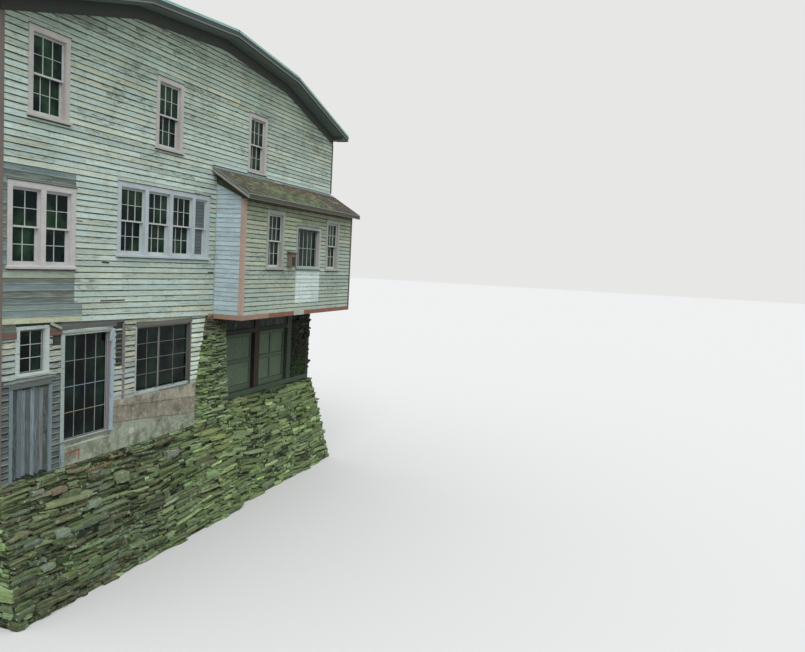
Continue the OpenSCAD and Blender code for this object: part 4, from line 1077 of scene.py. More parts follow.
def doorSpots():
    rng = random.Random(75)
    wide = plankDoor["w"] / plankDoor["count"]
    tones = [(70, 80, 84), (118, 132, 138), (140, 152, 158), (98, 108, 114), (152, 168, 174), (104, 116, 120),
             (136, 142, 140), (84, 88, 86)]
    spots = []
    for i, tone in enumerate(tones):
        foot = plankDoor["foot"] + rng.uniform(0.0, 0.03)
        head = plankDoor["head"] - rng.uniform(0.0, 0.012)
        spots.append(upright(rng, (plankDoor["x"] + wide * i + 0.003, plankDoor["face"], foot),
                             (head - foot, plankDoor["thick"] * rng.uniform(0.8, 1.0),
                              wide - rng.uniform(0.007, 0.012)), seen(*tone), rng.uniform(0.25, 0.5),
                             shape=i % len(ragged)))
    return spots


doorPlanks = boardMaterial("doorPlanks", {
    "streaks": 0.85, "streak": seen(54, 62, 64), "bare": seen(150, 164, 168), "bareDark": seen(54, 60, 62),
    "mottle": 0.25, "second": seen(158, 156, 146), "relief": 0.005})
layCopies("doorPlanks", ragged, doorSpots(), basementWall, doorPlanks, body="plank_door_leaf")


def haspSpots():
    rng = random.Random(76)
    tone = seen(58, 48, 42)
    return [board(rng, (1.17, -0.005, 3.39), (0.07, 0.004, 0.028), tone, 0.1),
            upright(rng, (1.196, -0.002, 3.37), (0.062, 0.008, 0.02), tone, 0.1)]


layCopies("doorHasp", [shortPlank], haspSpots(), basementWall, oddBoards,
          body="plank_door_leaf")
print("basement boards laid")


# Diagonal boarding in the near bay leaf's panels: a slab cut across, each board then raised by itself
bayPanel = {"x": 8.56, "w": 1.74, "feet": (3.128, 3.923), "h": 0.675, "y": 0.742, "thick": 0.012,
            "boardWide": 0.18, "fall": 0.72, "edge": 0.008}


def diagonalPanel(foot):
    bpy.ops.object.select_all(action="DESELECT")
    x0, y0 = mill["left"] + bayPanel["x"], mill["front"] + bayPanel["y"]
    bpy.ops.mesh.primitive_cube_add(size=1, location=(x0 + bayPanel["w"] / 2, y0 - bayPanel["thick"] / 4,
                                                      foot + bayPanel["h"] / 2))
    bpy.ops.transform.resize(value=(bayPanel["w"], bayPanel["thick"] / 2, bayPanel["h"]))
    bpy.ops.object.transform_apply(location=True, rotation=True, scale=True)
    bpy.ops.object.mode_set(mode="EDIT")
    normal = (math.sin(bayPanel["fall"]), 0.0, math.cos(bayPanel["fall"]))
    reach = bayPanel["w"] * normal[0] + bayPanel["h"] * normal[2]
    at = bayPanel["boardWide"] * 0.6
    while at < reach:
        bpy.ops.mesh.select_all(action="SELECT")
        bpy.ops.mesh.bisect(plane_co=(x0 + normal[0] * at, y0, foot + normal[2] * at), plane_no=normal)
        at += bayPanel["boardWide"]
    pickFaces(lambda middle, way: way.y < -0.9)
    bpy.ops.mesh.inset(thickness=bayPanel["edge"], depth=bayPanel["thick"] / 2, use_individual=True)
    return takeShape(mirrored=False)


def layDiagonalBoards():
    allPoints, allFaces, count = [], [], 0
    for foot in bayPanel["feet"]:
        points, faces = diagonalPanel(foot)
        allPoints.append(points)
        allFaces.extend(tuple(v + count for v in face) for face in faces)
        count += len(points)
    points = np.concatenate(allPoints)
    tones = np.tile((*seen(102, 122, 96), 0.2), (len(points), 1))
    angle = bayPanel["fall"]
    alongs = np.column_stack((points[:, 0] * math.cos(angle) - points[:, 2] * math.sin(angle), points[:, 1],
                              points[:, 0] * math.sin(angle) + points[:, 2] * math.cos(angle)))
    return makePiece("bayDiagonalBoards", points, allFaces, bayBoards, "near_bay_leaf",
                     tones, alongs)


bayBoards = boardMaterial("bayBoards", {"mottle": 0.3, "second": seen(74, 84, 66), "drips": 0.5,
                                        "dripTone": seen(58, 66, 50), "specks": 0.5})
layDiagonalBoards()


def panelEdgeShadows(starts, wide):  # dark strips round the panels of one leaf, a painted shadow in their grooves
    rng = random.Random(78)
    dark, out, line = seen(34, 40, 32), -bayPanel["y"] - 0.001, 0.014
    spots = []
    for x in starts:
        for z in bayPanel["feet"]:
            for level in (z, z + bayPanel["h"] - line):
                spots.append(board(rng, (x, out, level), (wide, 0.016, line), dark, 0.0))
            for side in (x, x + wide - line):
                spots.append(upright(rng, (side, out, z), (bayPanel["h"], 0.016, line), dark, 0.0))
    return spots


leafPanels = {"near_bay_leaf": ((bayPanel["x"],), bayPanel["w"]), "far_bay_leaf": ((10.84, 11.735), 0.785)}
for body, (starts, wide) in leafPanels.items():
    layCopies(body + "Edges", [shortPlank], panelEdgeShadows(starts, wide), riverWall, bayBoards,
              body=body)


# Dark upright boards over and beside the bay doors; a run has its start, end, foot and share of light
uprights = {"runs": ((7.13, 8.13, 2.96, 0.5), (8.45, 10.41, 4.84, 0.2), (10.73, 12.63, 4.84, 0.8),
                     (12.95, 14.14, 2.96, 0.2)),
            "out": -0.655, "thick": 0.016, "narrow": 0.13, "wide": 0.2, "joint": 0.008}


def uprightSpots():
    rng = random.Random(77)
    spots = []
    for start, end, foot, share in uprights["runs"]:
        at = start
        while at < end - 0.05:
            wide = min(rng.uniform(uprights["narrow"], uprights["wide"]), end - at)
            tone = lit(seen(66, 70, 60), rng.uniform(0.6, 1.1) * share)
            spots.append(upright(rng, (at, uprights["out"], foot),
                                 (mill["pierHead"] - foot, uprights["thick"], wide - uprights["joint"]),
                                 tone, rng.uniform(0.1, 0.5)))
            at += wide
    return spots


layCopies("bayUprights", [plank], uprightSpots(), riverWall, bayBoards)
print("bay boards laid")


# Stonework: beds of flat stones, thinner and thicker by turns, with open joints
stonework = {"slabs": 0.12, "hollows": 0.05, "shortEnd": 0.16, "deep": (0.12, 0.18), "turn": 0.045,
             "yaw": 0.09, "tip": 0.1, "jitter": 0.28}


def stoneSpots(limits, top, lean, look, seed):
    rng = random.Random(seed)
    spots = []
    low = look.get("low", 0.0)
    while low < top - 0.02:
        row = rng.uniform(*look["row"])
        if top - low - row < look["row"][0] * 0.7:
            row = top - low
        start, end = limits(low + row / 2)
        at = start - rng.uniform(0.0, 0.03)
        while at < end - 0.02:
            cell = rng.uniform(*look["cell"])
            if end - at - cell < stonework["shortEnd"]:
                cell = end - at + rng.uniform(0.0, 0.02)
            layers = max(1, round(row / rng.uniform(*look["layer"])))
            if cell < 0.8 and rng.random() < stonework["slabs"]:
                layers = 1
            jitter = stonework["jitter"]
            levels = [0.0, *((i + rng.uniform(-jitter, jitter)) / layers for i in range(1, layers)), 1.0]
            for lower, upper in zip(levels, levels[1:]):
                cuts = [0.0]
                if cell > 0.42 and rng.random() < 0.7:
                    cuts.append(rng.uniform(0.28, 0.72))
                if cell > 0.85 and rng.random() < 0.6:
                    cuts.append(rng.uniform(0.76, 0.9))
                cuts.append(1.0)
                for a, b in zip(cuts, cuts[1:]):
                    height, length = row * (upper - lower), cell * (b - a)
                    if length < 0.45 and rng.random() < stonework["hollows"]:
                        continue
                    z = low + row * lower
                    tone, moss = look["paint"](at + cell * a, z, rng)
                    deep = rng.uniform(*stonework["deep"])
                    proud = rng.uniform(*look["proud"])
                    spots.append({
                        "shape": rng.randrange(len(stones)),
                        "at": (at + cell * a - 0.004, lean(z + height / 2) - deep + proud, z + 0.002),
                        "size": (length * rng.uniform(1.0, 1.1), deep, height * rng.uniform(0.95, 1.25)),
                        "turn": rng.gauss(look.get("dip", 0.0), stonework["turn"]),
                        "yaw": rng.uniform(-stonework["yaw"], stonework["yaw"]),
                        "tip": rng.uniform(-stonework["tip"], stonework["tip"]),
                        "tone": tone, "wear": moss, "shift": farShift(rng),
                    })
            at += cell
        low += row
    return spots


def wavyBeds(top, low, height):
    def bend(points):
        share = np.clip((points[:, 2] - low) / (top - low), 0.0, 1.0)
        wave = np.sin(0.9 * points[:, 0] + 1.3) + 0.6 * np.sin(2.3 * points[:, 0] + 0.7)
        points[:, 2] += 4 * share * (1 - share) * height * wave
        points[:, 2] = np.clip(points[:, 2], low, top + 0.004)
        return points
    return bend


def layStones(name, limits, top, lean, look, seed, plane, material):
    layCopies(name, stones, stoneSpots(limits, top, lean, look, seed), plane, material,
              bend=wavyBeds(top, look.get("low", 0.0), look.get("wave", 0.05)))


stonePaints = {
    "olive": seen(108, 134, 92), "grey": seen(116, 134, 112), "brown": seen(120, 114, 92),
    "tan": seen(152, 174, 126), "dark": seen(58, 68, 52), "blueGrey": seen(116, 132, 124),
}


def wallStone(x, z, rng):
    name = rng.choice(["olive", "olive", "grey", "grey", "brown", "brown", "tan", "dark", "blueGrey"])
    base = between(stonePaints[name], stonePaints["olive"], rng.uniform(0.0, 0.4))
    slab = z > 2.2 and rng.random() < 0.4
    if slab:  # purplish brown along the head
        base = between(base, seen(134, 110, 94), rng.uniform(0.3, 0.9))
    right = clamp((x - 3.5) / 3.0)  # paler slabs towards the pier
    base = between(base, seen(164, 192, 128), right * rng.uniform(0.1, 0.8))
    shine = 1.1 if rng.random() < 0.16 and not slab else 0.0
    return lit(base, rng.uniform(0.1, 1.3) + 0.4 * right + shine), rng.uniform(0.0, 0.45) + 0.2 * right


def pierStone(x, z, rng):  # lime and moss to the left, grey to the right, purplish at the head
    base = between(stonePaints["tan"], stonePaints["grey"], rng.uniform(0.0, 0.5))
    base = between(base, seen(92, 82, 78), clamp((z - 4.7) / 0.5) * 0.9)
    left = clamp((7.35 - x) / 0.6) * clamp((4.95 - z) / 0.4)
    shine = 1.3 if rng.random() < 0.2 and z < 4.6 else 0.0
    return lit(base, rng.uniform(0.15, 1.5) + shine), 0.05 + left * rng.uniform(0.1, 0.95)


stoneLook = {"deep": seen(40, 46, 34), "warm": seen(140, 146, 104), "pale": seen(172, 196, 172),
             "moss": seen(98, 126, 56)}
flagstone = stoneMaterial("flagstone", stoneLook)
pierMoss = stoneMaterial("mossyFlagstone", {**stoneLook, "moss": seen(142, 184, 96), "lichen": 0.5})

bay = {"pierEnd": 7.94, "ledge": 2.8, "sillY": 0.48, "kneeZ": 2.3, "kneeY": 0.34, "footY": -0.364,
       "batter": 0.52, "kneePierX": 7.751, "kneePierZ": 3.8, "headPierX": 7.64, "headPierZ": 5.5,
       "farStart": 12.97, "farFoot": 2.97, "farLean": -0.59}


def batterOut(z):
    return bay["batter"] * (1 - z / mill["base"])


def bayOut(z):
    if z < bay["kneeZ"]:
        return -(bay["footY"] + (bay["kneeY"] - bay["footY"]) * z / bay["kneeZ"])
    rise = (bay["sillY"] - bay["kneeY"]) * (z - bay["kneeZ"]) / (bay["ledge"] - bay["kneeZ"])
    return -(bay["kneeY"] + rise)


riverLook = {"row": (0.12, 0.27), "cell": (0.35, 1.3), "layer": (0.042, 0.1), "proud": (0.02, 0.1),
             "paint": wallStone}


# Stones that stand out by their size or colour: place, length, height, colour and moss
markedStones = [
    (3.0, 1.86, 0.5, 0.3, (156, 170, 132), 0.1), (2.1, 1.33, 0.22, 0.07, (168, 110, 52), 0.0),
    (2.1, 1.62, 0.4, 0.17, (168, 190, 166), 0.1), (1.12, 1.3, 0.42, 0.17, (164, 184, 162), 0.1),
    (0.66, 0.82, 0.4, 0.13, (160, 182, 158), 0.1), (1.2, 2.14, 0.4, 0.13, (158, 138, 118), 0.0),
    (0.7, 2.27, 0.34, 0.08, (154, 158, 144), 0.0), (2.2, 2.36, 0.8, 0.06, (138, 96, 72), 0.0),
    (2.9, 2.49, 0.46, 0.05, (140, 96, 70), 0.0), (6.5, 2.28, 0.75, 0.1, (178, 198, 122), 0.2),
    (6.8, 2.05, 0.85, 0.13, (188, 206, 124), 0.1), (7.0, 1.76, 0.7, 0.12, (158, 176, 112), 0.2),
    (4.9, 2.02, 0.5, 0.2, (158, 166, 158), 0.0), (6.2, 1.5, 0.8, 0.12, (120, 130, 96), 0.3),
]


def markedSpots():
    rng = random.Random(47)
    deep, proud = 0.14, 0.122
    spots = []
    for i, (x, z, length, height, tone, moss) in enumerate(markedStones):
        out = batterOut(z + height / 2) - deep + proud
        spots.append({"shape": i % len(stones), "at": (x, out, z), "size": (length, deep, height),
                      "turn": rng.uniform(-0.03, 0.03), "tone": seen(*tone), "wear": moss,
                      "shift": farShift(rng)})
    return spots


layCopies("markedStones", stones, markedSpots(), riverWall, flagstone)
layStones("riverStones", lambda z: (0.0, bay["pierEnd"]), mill["base"], batterOut, riverLook, 41, riverWall,
          flagstone)
bayLook = {**riverLook, "dip": -0.02, "row": (0.14, 0.32), "cell": (0.5, 1.5), "layer": (0.06, 0.12)}
layStones("bayStones", lambda z: (bay["pierEnd"] - 0.1, mill["length"]), bay["ledge"], bayOut, bayLook, 42,
          riverWall, flagstone)
sideLook = {**riverLook, "row": (0.18, 0.38), "cell": (0.5, 1.5), "layer": (0.08, 0.15),
            "proud": (0.025, 0.065)}
for name, limits, plane, seed in (
        ("leftStones", lambda z: (0.0, mill["depth"] + batterOut(z)), leftWall, 43),
        ("rightStones", lambda z: (-bayOut(z), mill["depth"]), rightWall, 44),
        ("rearStones", lambda z: (0.0, mill["length"]), rearWall, 45)):
    layStones(name, limits, mill["base"], lambda z: 0.0, sideLook, seed, plane, flagstone)
pierLook = {"row": (0.09, 0.17), "cell": (0.28, 0.7), "layer": (0.032, 0.062), "proud": (0.025, 0.08),
            "paint": pierStone, "low": mill["base"], "wave": 0.02}


def pierEdge(z):
    if z < bay["kneePierZ"]:
        share = (z - mill["base"]) / (bay["kneePierZ"] - mill["base"])
        return bay["pierEnd"] + (bay["kneePierX"] - bay["pierEnd"]) * share
    share = (z - bay["kneePierZ"]) / (bay["headPierZ"] - bay["kneePierZ"])
    return bay["kneePierX"] + (bay["headPierX"] - bay["kneePierX"]) * share


shadedStone = stoneMaterial("shadedFlagstone", {
    "deep": seen(22, 24, 20), "warm": seen(58, 62, 44), "pale": seen(66, 72, 58), "moss": seen(48, 72, 34),
    "lichen": 0.2})


def farPierStone(x, z, rng):  # in shade under the jetty, mossy at the foot
    base = between(seen(46, 50, 40), seen(58, 76, 40), clamp((3.7 - z) / 0.6))
    return lit(base, rng.uniform(0.5, 1.3)), min(clamp((3.9 - z) / 0.8), 0.9)


farPierLook = {**riverLook, "low": bay["farFoot"], "wave": 0.02, "row": (0.1, 0.24), "proud": (0.0, 0.05),
               "paint": farPierStone}
layStones("farPierStones", lambda z: (bay["farStart"], mill["length"]), mill["pierHead"],
          lambda z: bay["farLean"], farPierLook, 48, riverWall, shadedStone)
layStones("pierStones", lambda z: (pierStart(z), pierEdge(z)), mill["pierHead"], lambda z: 0.0, pierLook, 46,
          riverWall, pierMoss)
print("stones laid")


# Roof: strips of roofing up each slope, a cap along the ridge, edging and boards along both gables
roofing = {"strip": 0.9, "thick": 0.004, "lift": 0.001, "cap": 0.3, "shortest": 4.5, "longest": 9.0,
           "whole": mill["depth"] + 2 * roof["rakeOut"]}


def roofPlane(x0, x1):
    z0, z1 = (roofUnder(x) + roof["thick"] for x in (x0, x1))
    lower, upper = (x0, x1) if z1 > z0 else (x1, x0)
    rise = np.array((upper - lower, 0.0, abs(z1 - z0)))
    length = float(np.linalg.norm(rise))
    left = upper > lower
    start = (lower, mill["depth"] + roof["rakeOut"] if left else -roof["rakeOut"], min(z0, z1))
    return planeOf(start, (0, -1 if left else 1, 0), rise / length), length


def stripSpots(length, seed):
    rng = random.Random(seed)
    count = max(1, round(length / roofing["strip"]))
    wide = length / count
    whole = roofing["whole"]
    spots = []
    for i in range(count):
        at = 0.0
        while at < whole - 0.01:
            run = min(rng.uniform(roofing["shortest"], roofing["longest"]), whole - at)
            spots.append(board(rng, (at, roofing["lift"] + 0.001 * (i % 2), wide * i - 0.01 * (i > 0)),
                               (run + 0.02 * (at + run < whole - 0.02), roofing["thick"], wide + 0.01),
                               lit(seen(116, 126, 122), rng.uniform(0.88, 1.06)), 0.15))
            at += run
    return spots


roofFelt = boardMaterial("roofFelt", {
    "mottle": 0.6, "second": seen(92, 100, 84), "patchRun": (0.7, 0.7, 0.7), "drips": 0.0, "streaks": 0.15,
    "specks": 0.7, "relief": 0.002, "roughness": 0.9})
feltStrip = plankShape(7, 0.3)
for i, (x0, x1) in enumerate(zip(roofBreaks, roofBreaks[1:])):
    slope, length = roofPlane(x0, x1)
    layCopies("roofingStrips" + str(i + 1), [feltStrip], stripSpots(length, 81 + i), slope, roofFelt)


# Metal strips on each rake: how far in, how far over the rake's head, thickness, width and colour; the last,
# dark strip is a painted shadow under the drip edge, and the foot strip a painted highlight on the rake
# board's lower edge
paleMetal = seen(190, 236, 226)
rakeTrim = {
    "strips": ((0.001, -0.012, 0.008, 0.024, paleMetal), (0.001, -0.044, 0.005, 0.024, paleMetal),
               # the last strip is a painted shadow under the drip edge
               (0.07, 0.009, 0.072, 0.003, paleMetal), (0.001, -0.084, 0.003, 0.045, seen(44, 66, 74))),
    "footHighlight": seen(124, 126, 120), "soffit": seen(118, 132, 126), "soffitIn": 0.035,
}


def gableTrim():
    for end, rear in (("front", False), ("rear", True)):
        for i, (x0, x1) in enumerate(zip(roofBreaks, roofBreaks[1:])):
            rng = random.Random(90 + i)
            place, length = gableSlope(x0, x1, rear)
            top = roof["thick"] * abs(x1 - x0) / length
            out = roof["rakeOut"]
            edging = [board(rng, (0.0, out - inset, top + rise), (length, thick, wide), tone, 0.1)
                      for inset, rise, thick, wide, tone in rakeTrim["strips"]]
            # a painted highlight along the rake board's lower edge
            edging.append(board(rng, (0.0, out - 0.001, 0.01), (length, 0.003, 0.03),
                                rakeTrim["footHighlight"], 0.2))
            layCopies(end + "EdgingAndPaintedLight" + str(i + 1), [plank], edging, place, edgeMetal)
            deep = (out - rakeTrim["soffitIn"]) / 2
            soffit = [board(rng, (0.0, 0.004 + deep * j, -0.013), (length, deep - 0.006, 0.012),
                            lit(rakeTrim["soffit"], rng.uniform(0.85, 1.1)), 0.2) for j in range(2)]
            layCopies(end + "Soffit" + str(i + 1), [plank], soffit, place, oddBoards)


edgeMetal = boardMaterial("edgeMetal", {
    "mottle": 0.2, "second": seen(120, 140, 138), "drips": 0.0, "streaks": 0.1, "specks": 0.3,
    "relief": 0.0005, "roughness": 0.5})
gableTrim()
ridge = roofUnder(mill["length"] / 2) + roof["thick"]
steep = math.atan(roof["innerPitch"])
for side, turn, start in (("near", -1, mill["depth"] + roof["rakeOut"]), ("far", 1, -roof["rakeOut"])):
    capPlane = planeOf((mill["length"] / 2, start, ridge), (0, turn, 0),
                       (-turn * math.cos(steep), 0, math.sin(steep)))
    cap = board(random.Random(97), (0.0, 0.007, -roofing["cap"] / 2),
                (roofing["whole"], 0.003, roofing["cap"] / 2), seen(104, 114, 112), 0.2)
    layCopies(side + "RidgeCap", [plank], [cap], capPlane, roofFelt)
print("roof covered")


# Jetty roof: courses of short shingles, and the flashing at the wall
jettySlope = math.hypot(1.0, jetty["fall"])
jettyRun = jetty["roofOut"] * jettySlope
eaveCorner = (jetty["roofX0"], -jetty["roofOut"], jetty["head"] - jetty["fall"] * jetty["roofOut"])
jettyPlane = planeOf(eaveCorner, (1, 0, 0), (0, 1 / jettySlope, jetty["fall"] / jettySlope))
shingles = {"exposure": 0.108, "tall": 0.14, "thick": 0.013, "narrow": 0.11, "wide": 0.19, "row": 12}


def shinglePaint(x, up, rng):  # olive, brownish at the near end, rusty towards the wall, purplish far off
    share = x / (jetty["roofX1"] - jetty["roofX0"])
    base = between(seen(90, 100, 76), seen(140, 150, 108), rng.uniform(0.0, 0.9))
    near = min(clamp((0.3 - share) * 4), 0.85)
    base = between(base, seen(104, 92, 78), near * rng.uniform(0.4, 1.0))
    red = clamp((up - 0.42) * 2.6) * clamp((share - 0.12) * 3)
    base = between(base, seen(128, 84, 64), min(red * rng.uniform(0.3, 1.3), 0.95))
    far = clamp((share - 0.66 + 0.2 * (0.5 - up)) * 5)
    base = between(base, seen(90, 70, 70), far * rng.uniform(0.7, 1.0))
    pick = rng.random()
    if pick < 0.07:
        base = between(base, seen(176, 180, 136), 0.6)
    elif pick < 0.2:
        base = between(base, seen(62, 60, 50), 0.6)
    return varied(rng, base, (0.55, 1.2), (0.05, 0.35))


def shingleSpots():
    rng = random.Random(101)
    wide = jetty["roofX1"] - jetty["roofX0"]
    spots = []
    for row in range(shingles["row"]):
        level = row * shingles["exposure"]
        tall = min(shingles["tall"], jettyRun - level)
        if tall < 0.03:
            break
        at = 0.0
        while at < wide - 0.02:
            run = min(rng.uniform(shingles["narrow"], shingles["wide"]), wide - at)
            if wide - at - run < shingles["narrow"] * 0.6:
                run = wide - at
            tone, wear = shinglePaint(at, level / jettyRun, rng)
            spots.append(board(rng, (at + 0.0015, 0.001, level + rng.uniform(-0.004, 0.006) * (row > 0)),
                               (run - 0.003, shingles["thick"] * rng.uniform(0.85, 1.1), tall), tone, wear))
            at += run
    return spots


shingleWood = boardMaterial("mossyShingle", {
    "lap": (0.092, 0.8), "lapShadeAndGrime": seen(44, 44, 30), "mottle": 0.15, "second": seen(132, 138, 104),
    "patchRun": (5.0, 5.0, 5.0), "drips": 0.0, "streaks": 0.5, "streak": seen(72, 68, 50), "specks": 0.6,
    "bare": seen(122, 108, 86)})
layCopies("jettyShingles", [shingle], shingleSpots(), jettyPlane, shingleWood)


# Flashing sheets where the jetty roof meets the wall, and a pale scrap on them
flashing = {"lengths": (2.4, 1.1, 2.6, 1.6), "down": 0.13, "wide": 0.125, "thick": 0.004,
            "tone": seen(128, 148, 156), "scrap": seen(214, 214, 206)}


def flashingSpots():
    rng = random.Random(102)
    spots, at = [], 0.005
    for length in flashing["lengths"]:
        up = jettyRun - flashing["down"] + rng.uniform(-0.008, 0.008)
        tone = lit(flashing["tone"], rng.uniform(0.85, 1.1))
        spots.append(board(rng, (at, 0.012, up), (length - 0.006, flashing["thick"], flashing["wide"]), tone,
                           0.25, turn=rng.uniform(-0.004, 0.004)))
        at += length
    spots.append(board(rng, (3.25, 0.017, jettyRun - 0.145), (0.42, flashing["thick"], 0.05),
                       flashing["scrap"], 0.1, turn=-0.03))
    return spots


layCopies("jettyFlashing", [plank], flashingSpots(), jettyPlane, edgeMetal)


def layJettyEdging():  # a pale drip edge with its shadow line, along the near rake and the eave
    rng = random.Random(103)
    run, fall = 1 / jettySlope, jetty["fall"] / jettySlope
    rakePlane = planeOf((jetty["roofX0"], 0.0, jetty["head"]), (0, -run, -fall), (0, -fall, run))
    eavePlane = planeOf(eaveCorner, (1, 0, 0), (0, 0, 1))
    wide = jetty["roofX1"] - jetty["roofX0"]
    pale, dark = seen(176, 186, 182), seen(38, 44, 46)
    layCopies("jettyRakeEdgingAndPaintedLight", [plank],
              [board(rng, (0.0, -0.001, -0.014), (jettyRun, 0.004, 0.016), pale, 0.1),
               board(rng, (0.0, -0.001, -0.036), (jettyRun, 0.003, 0.022), dark, 0.1)],
              rakePlane, edgeMetal)
    layCopies("jettyEaveEdgingAndPaintedLight", [plank],
              [board(rng, (0.0, -0.001, -0.008), (wide, 0.004, 0.012), pale, 0.2),
               board(rng, (0.0, -0.001, -0.04), (wide, 0.003, 0.032), dark, 0.1)],
              eavePlane, edgeMetal)


layJettyEdging()
print("jetty roofed")


# Finishes of the solid pieces
uprightGrain, deepGrain = (55.0, 55.0, 3.0), (55.0, 3.0, 55.0)
sashWhite = seen(206, 210, 206)
riverSash = {"sash": ("Y", mill["front"] + 0.028, "GREATER_THAN"), "sashPaint": sashWhite, "wear": 0.15}
jettySash = {**riverSash, "sash": ("Y", mill["front"] - jetty["out"] + 0.028, "GREATER_THAN")}
bayPanels = {"sash": ("Y", mill["front"] + 0.73, "GREATER_THAN"), "sashPaint": seen(98, 116, 92),
             "grain": uprightGrain, "wear": 0.1}
pinkTrim = seen(194, 190, 186)
nodeLooks = {
    "upper_windows": {"paint": pinkTrim, **riverSash},
    "pair_window": {"paint": seen(208, 205, 203), **riverSash},
    "band_window": {"paint": seen(192, 204, 208), **riverSash},
    "jetty_windows": {"paint": seen(168, 170, 162), **jettySash},
    "jetty_fixed_window": {"paint": seen(156, 172, 170), "wear": 0.15, "sashPaint": seen(84, 72, 64),
                           "sash": ("Y", mill["front"] - jetty["out"] + 0.02, "GREATER_THAN"),
                           "zones": [({"X": (11.6, 11.9)}, seen(188, 190, 184))]},
    "basement_windows": {"paint": seen(176, 188, 184), "wear": 0.35, "sashPaint": seen(112, 108, 104),
                         "sash": ("Y", mill["front"] + 0.06, "GREATER_THAN"),
                         "zones": [({"X": (0.5, 1.2), "Y": (0.06, 0.2)}, sashWhite),
                                   ({"X": (0.4, 1.26), "Z": (4.48, 5.7), "Y": (-0.1, 0.06)},
                                    seen(200, 214, 208)),
                                   ({"X": (2.9, 3.1), "Y": (-0.1, 0.06)}, seen(150, 138, 142)),
                                   ({"X": (1.5, 3.2), "Z": (2.9, 3.11)}, seen(122, 132, 124)),
                                   ({"X": (5.94, 6.1), "Z": (3.7, 5.4)}, seen(98, 98, 94))]},
    "rear_windows": {"paint": pinkTrim, **riverSash,
                     "sash": ("Y", mill["front"] + mill["depth"] - 0.028, "LESS_THAN")},
    "side_windows": {"paint": pinkTrim, **riverSash, "sash": ("X", mill["length"] / 2 - 0.028, "LESS_THAN")},
    "corner_boards": {"paint": seen(126, 114, 108), "grain": uprightGrain,
                      "zones": [({"X": (14.0, 14.5)}, seen(92, 98, 82))]},
    "rake_boards": {"paint": seen(74, 80, 78)},
    "eave_boxes": {"paint": seen(96, 104, 98), "grain": deepGrain},
    "frieze_boards": {"paint": seen(64, 70, 66), "mottle": 0.6, "second": seen(72, 64, 58)},
    "red_band": {"paint": seen(136, 92, 76), "wear": 0.1},
    "jetty_trim": {"paint": seen(146, 96, 80), "wear": 0.15, "zones": [
        ({"X": (6.7, 8.5), "Z": (5.3, 5.485)}, seen(168, 138, 122)),
        ({"X": (10.07, 10.76), "Z": (5.3, 5.485)}, seen(190, 188, 178)),
        ({"Z": (5.485, 8.528)}, seen(192, 166, 152)), ({"Z": (8.528, 9.6)}, seen(84, 84, 68)),
        ({"X": (6.7, 6.8), "Z": (8.0, 9.6)}, seen(158, 152, 146)),
        ({"X": (14.2, 14.4), "Z": (5.485, 8.528)}, seen(104, 94, 80))]},
    "wall_box": {"paint": seen(120, 110, 96), "grain": uprightGrain, "wear": 0.1, "zones": [
        # the recess inside the box is painted dark: painted shade
        ({"X": (9.54, 9.79), "Z": (6.83, 7.15), "Y": (-0.99, -0.86)}, seen(58, 50, 42)),
        ({"Z": (7.15, 7.23)}, seen(96, 84, 72)), ({"Z": (7.23, 7.4)}, seen(138, 128, 116))]},
    "leaning_board": {"paint": seen(170, 192, 204), "grain": uprightGrain, "wear": 0.4},
    "door_frame": {"paint": seen(128, 144, 150), "wear": 0.5, "grain": uprightGrain},
    "plank_door": {"paint": seen(46, 50, 52), "wear": 0.0, "grain": uprightGrain},
    "near_bay_door": {"paint": seen(86, 100, 82), **bayPanels},
    "far_bay_door": {"paint": seen(88, 102, 84), **bayPanels},
    "bay_framing": {"paint": seen(40, 38, 32), "grain": uprightGrain, "wear": 0.05, "zones": [
        ({"X": (10.4, 10.75), "Z": (2.9, 5.6)}, seen(46, 34, 28)), ({"X": (12.6, 14.4)}, seen(60, 70, 58)),
        ({"Z": (2.78, 2.952)}, seen(76, 92, 74))]},
    "bay_boarding": {"paint": seen(46, 48, 42), "grain": uprightGrain, "wear": 0.1},
    "first_floor": {"paint": seen(120, 100, 78), "wear": 0.5},
    "second_floor": {"paint": seen(120, 100, 78), "wear": 0.5},
    "jetty_floor": {"paint": seen(78, 66, 56), "wear": 0.3, "grain": deepGrain},
}
for nodeName in ("basement_corner_wall", "basement_wall_over_door", "basement_window_wall",
                 "river_wall_lower", "river_wall_upper", "left_wall", "right_wall", "rear_wall",
                 "jetty_front_wall", "jetty_side_walls"):
    nodeLooks[nodeName] = {"paint": seen(52, 54, 46), "wear": 0.3, "grain": (4.0, 4.0, 50.0)}


def dress(nodeName, material):
    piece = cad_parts[nodeName]
    piece.data.materials.clear()
    piece.data.materials.append(material)


for nodeName, look in nodeLooks.items():
    dress(nodeName, woodMaterial(nodeName + "Finish", look))


def massMaterial(name, look):  # masonry, roofing and other grainy masses
    material, tree, shader, place = newMaterial(name, 0.93, 0.2)
    cloud = noise(tree, place, look.get("cloud", 1.6), 5.0, 0.6)
    grit = noise(tree, place, look.get("grit", 60.0), 5.0, 0.7)
    colour = blendColour(tree, step(tree, cloud, 0.35, 0.65), look["base"], look["second"])
    colour = blendColour(tree, step(tree, grit, 0.35, 0.65, 0.4, 0.0), colour, look["deep"])
    if "beds" in look:  # smaller stones packed behind
        layers = noise(tree, stretch(tree, place, (4.0, 4.0, 26.0)), 1.0, 3.0, 0.6)
        colour = tint(tree, colour, layers, 0.46, 0.56, 1.0, look["beds"])
    if "under" in look:  # boards show below
        colour = blendColour(tree, step(tree, facing(tree)["Z"], -0.5, -0.3, 1.0, 0.0), colour, look["under"])
    setFinish(tree, shader, colour, grit, look.get("relief", 0.006))
    return material


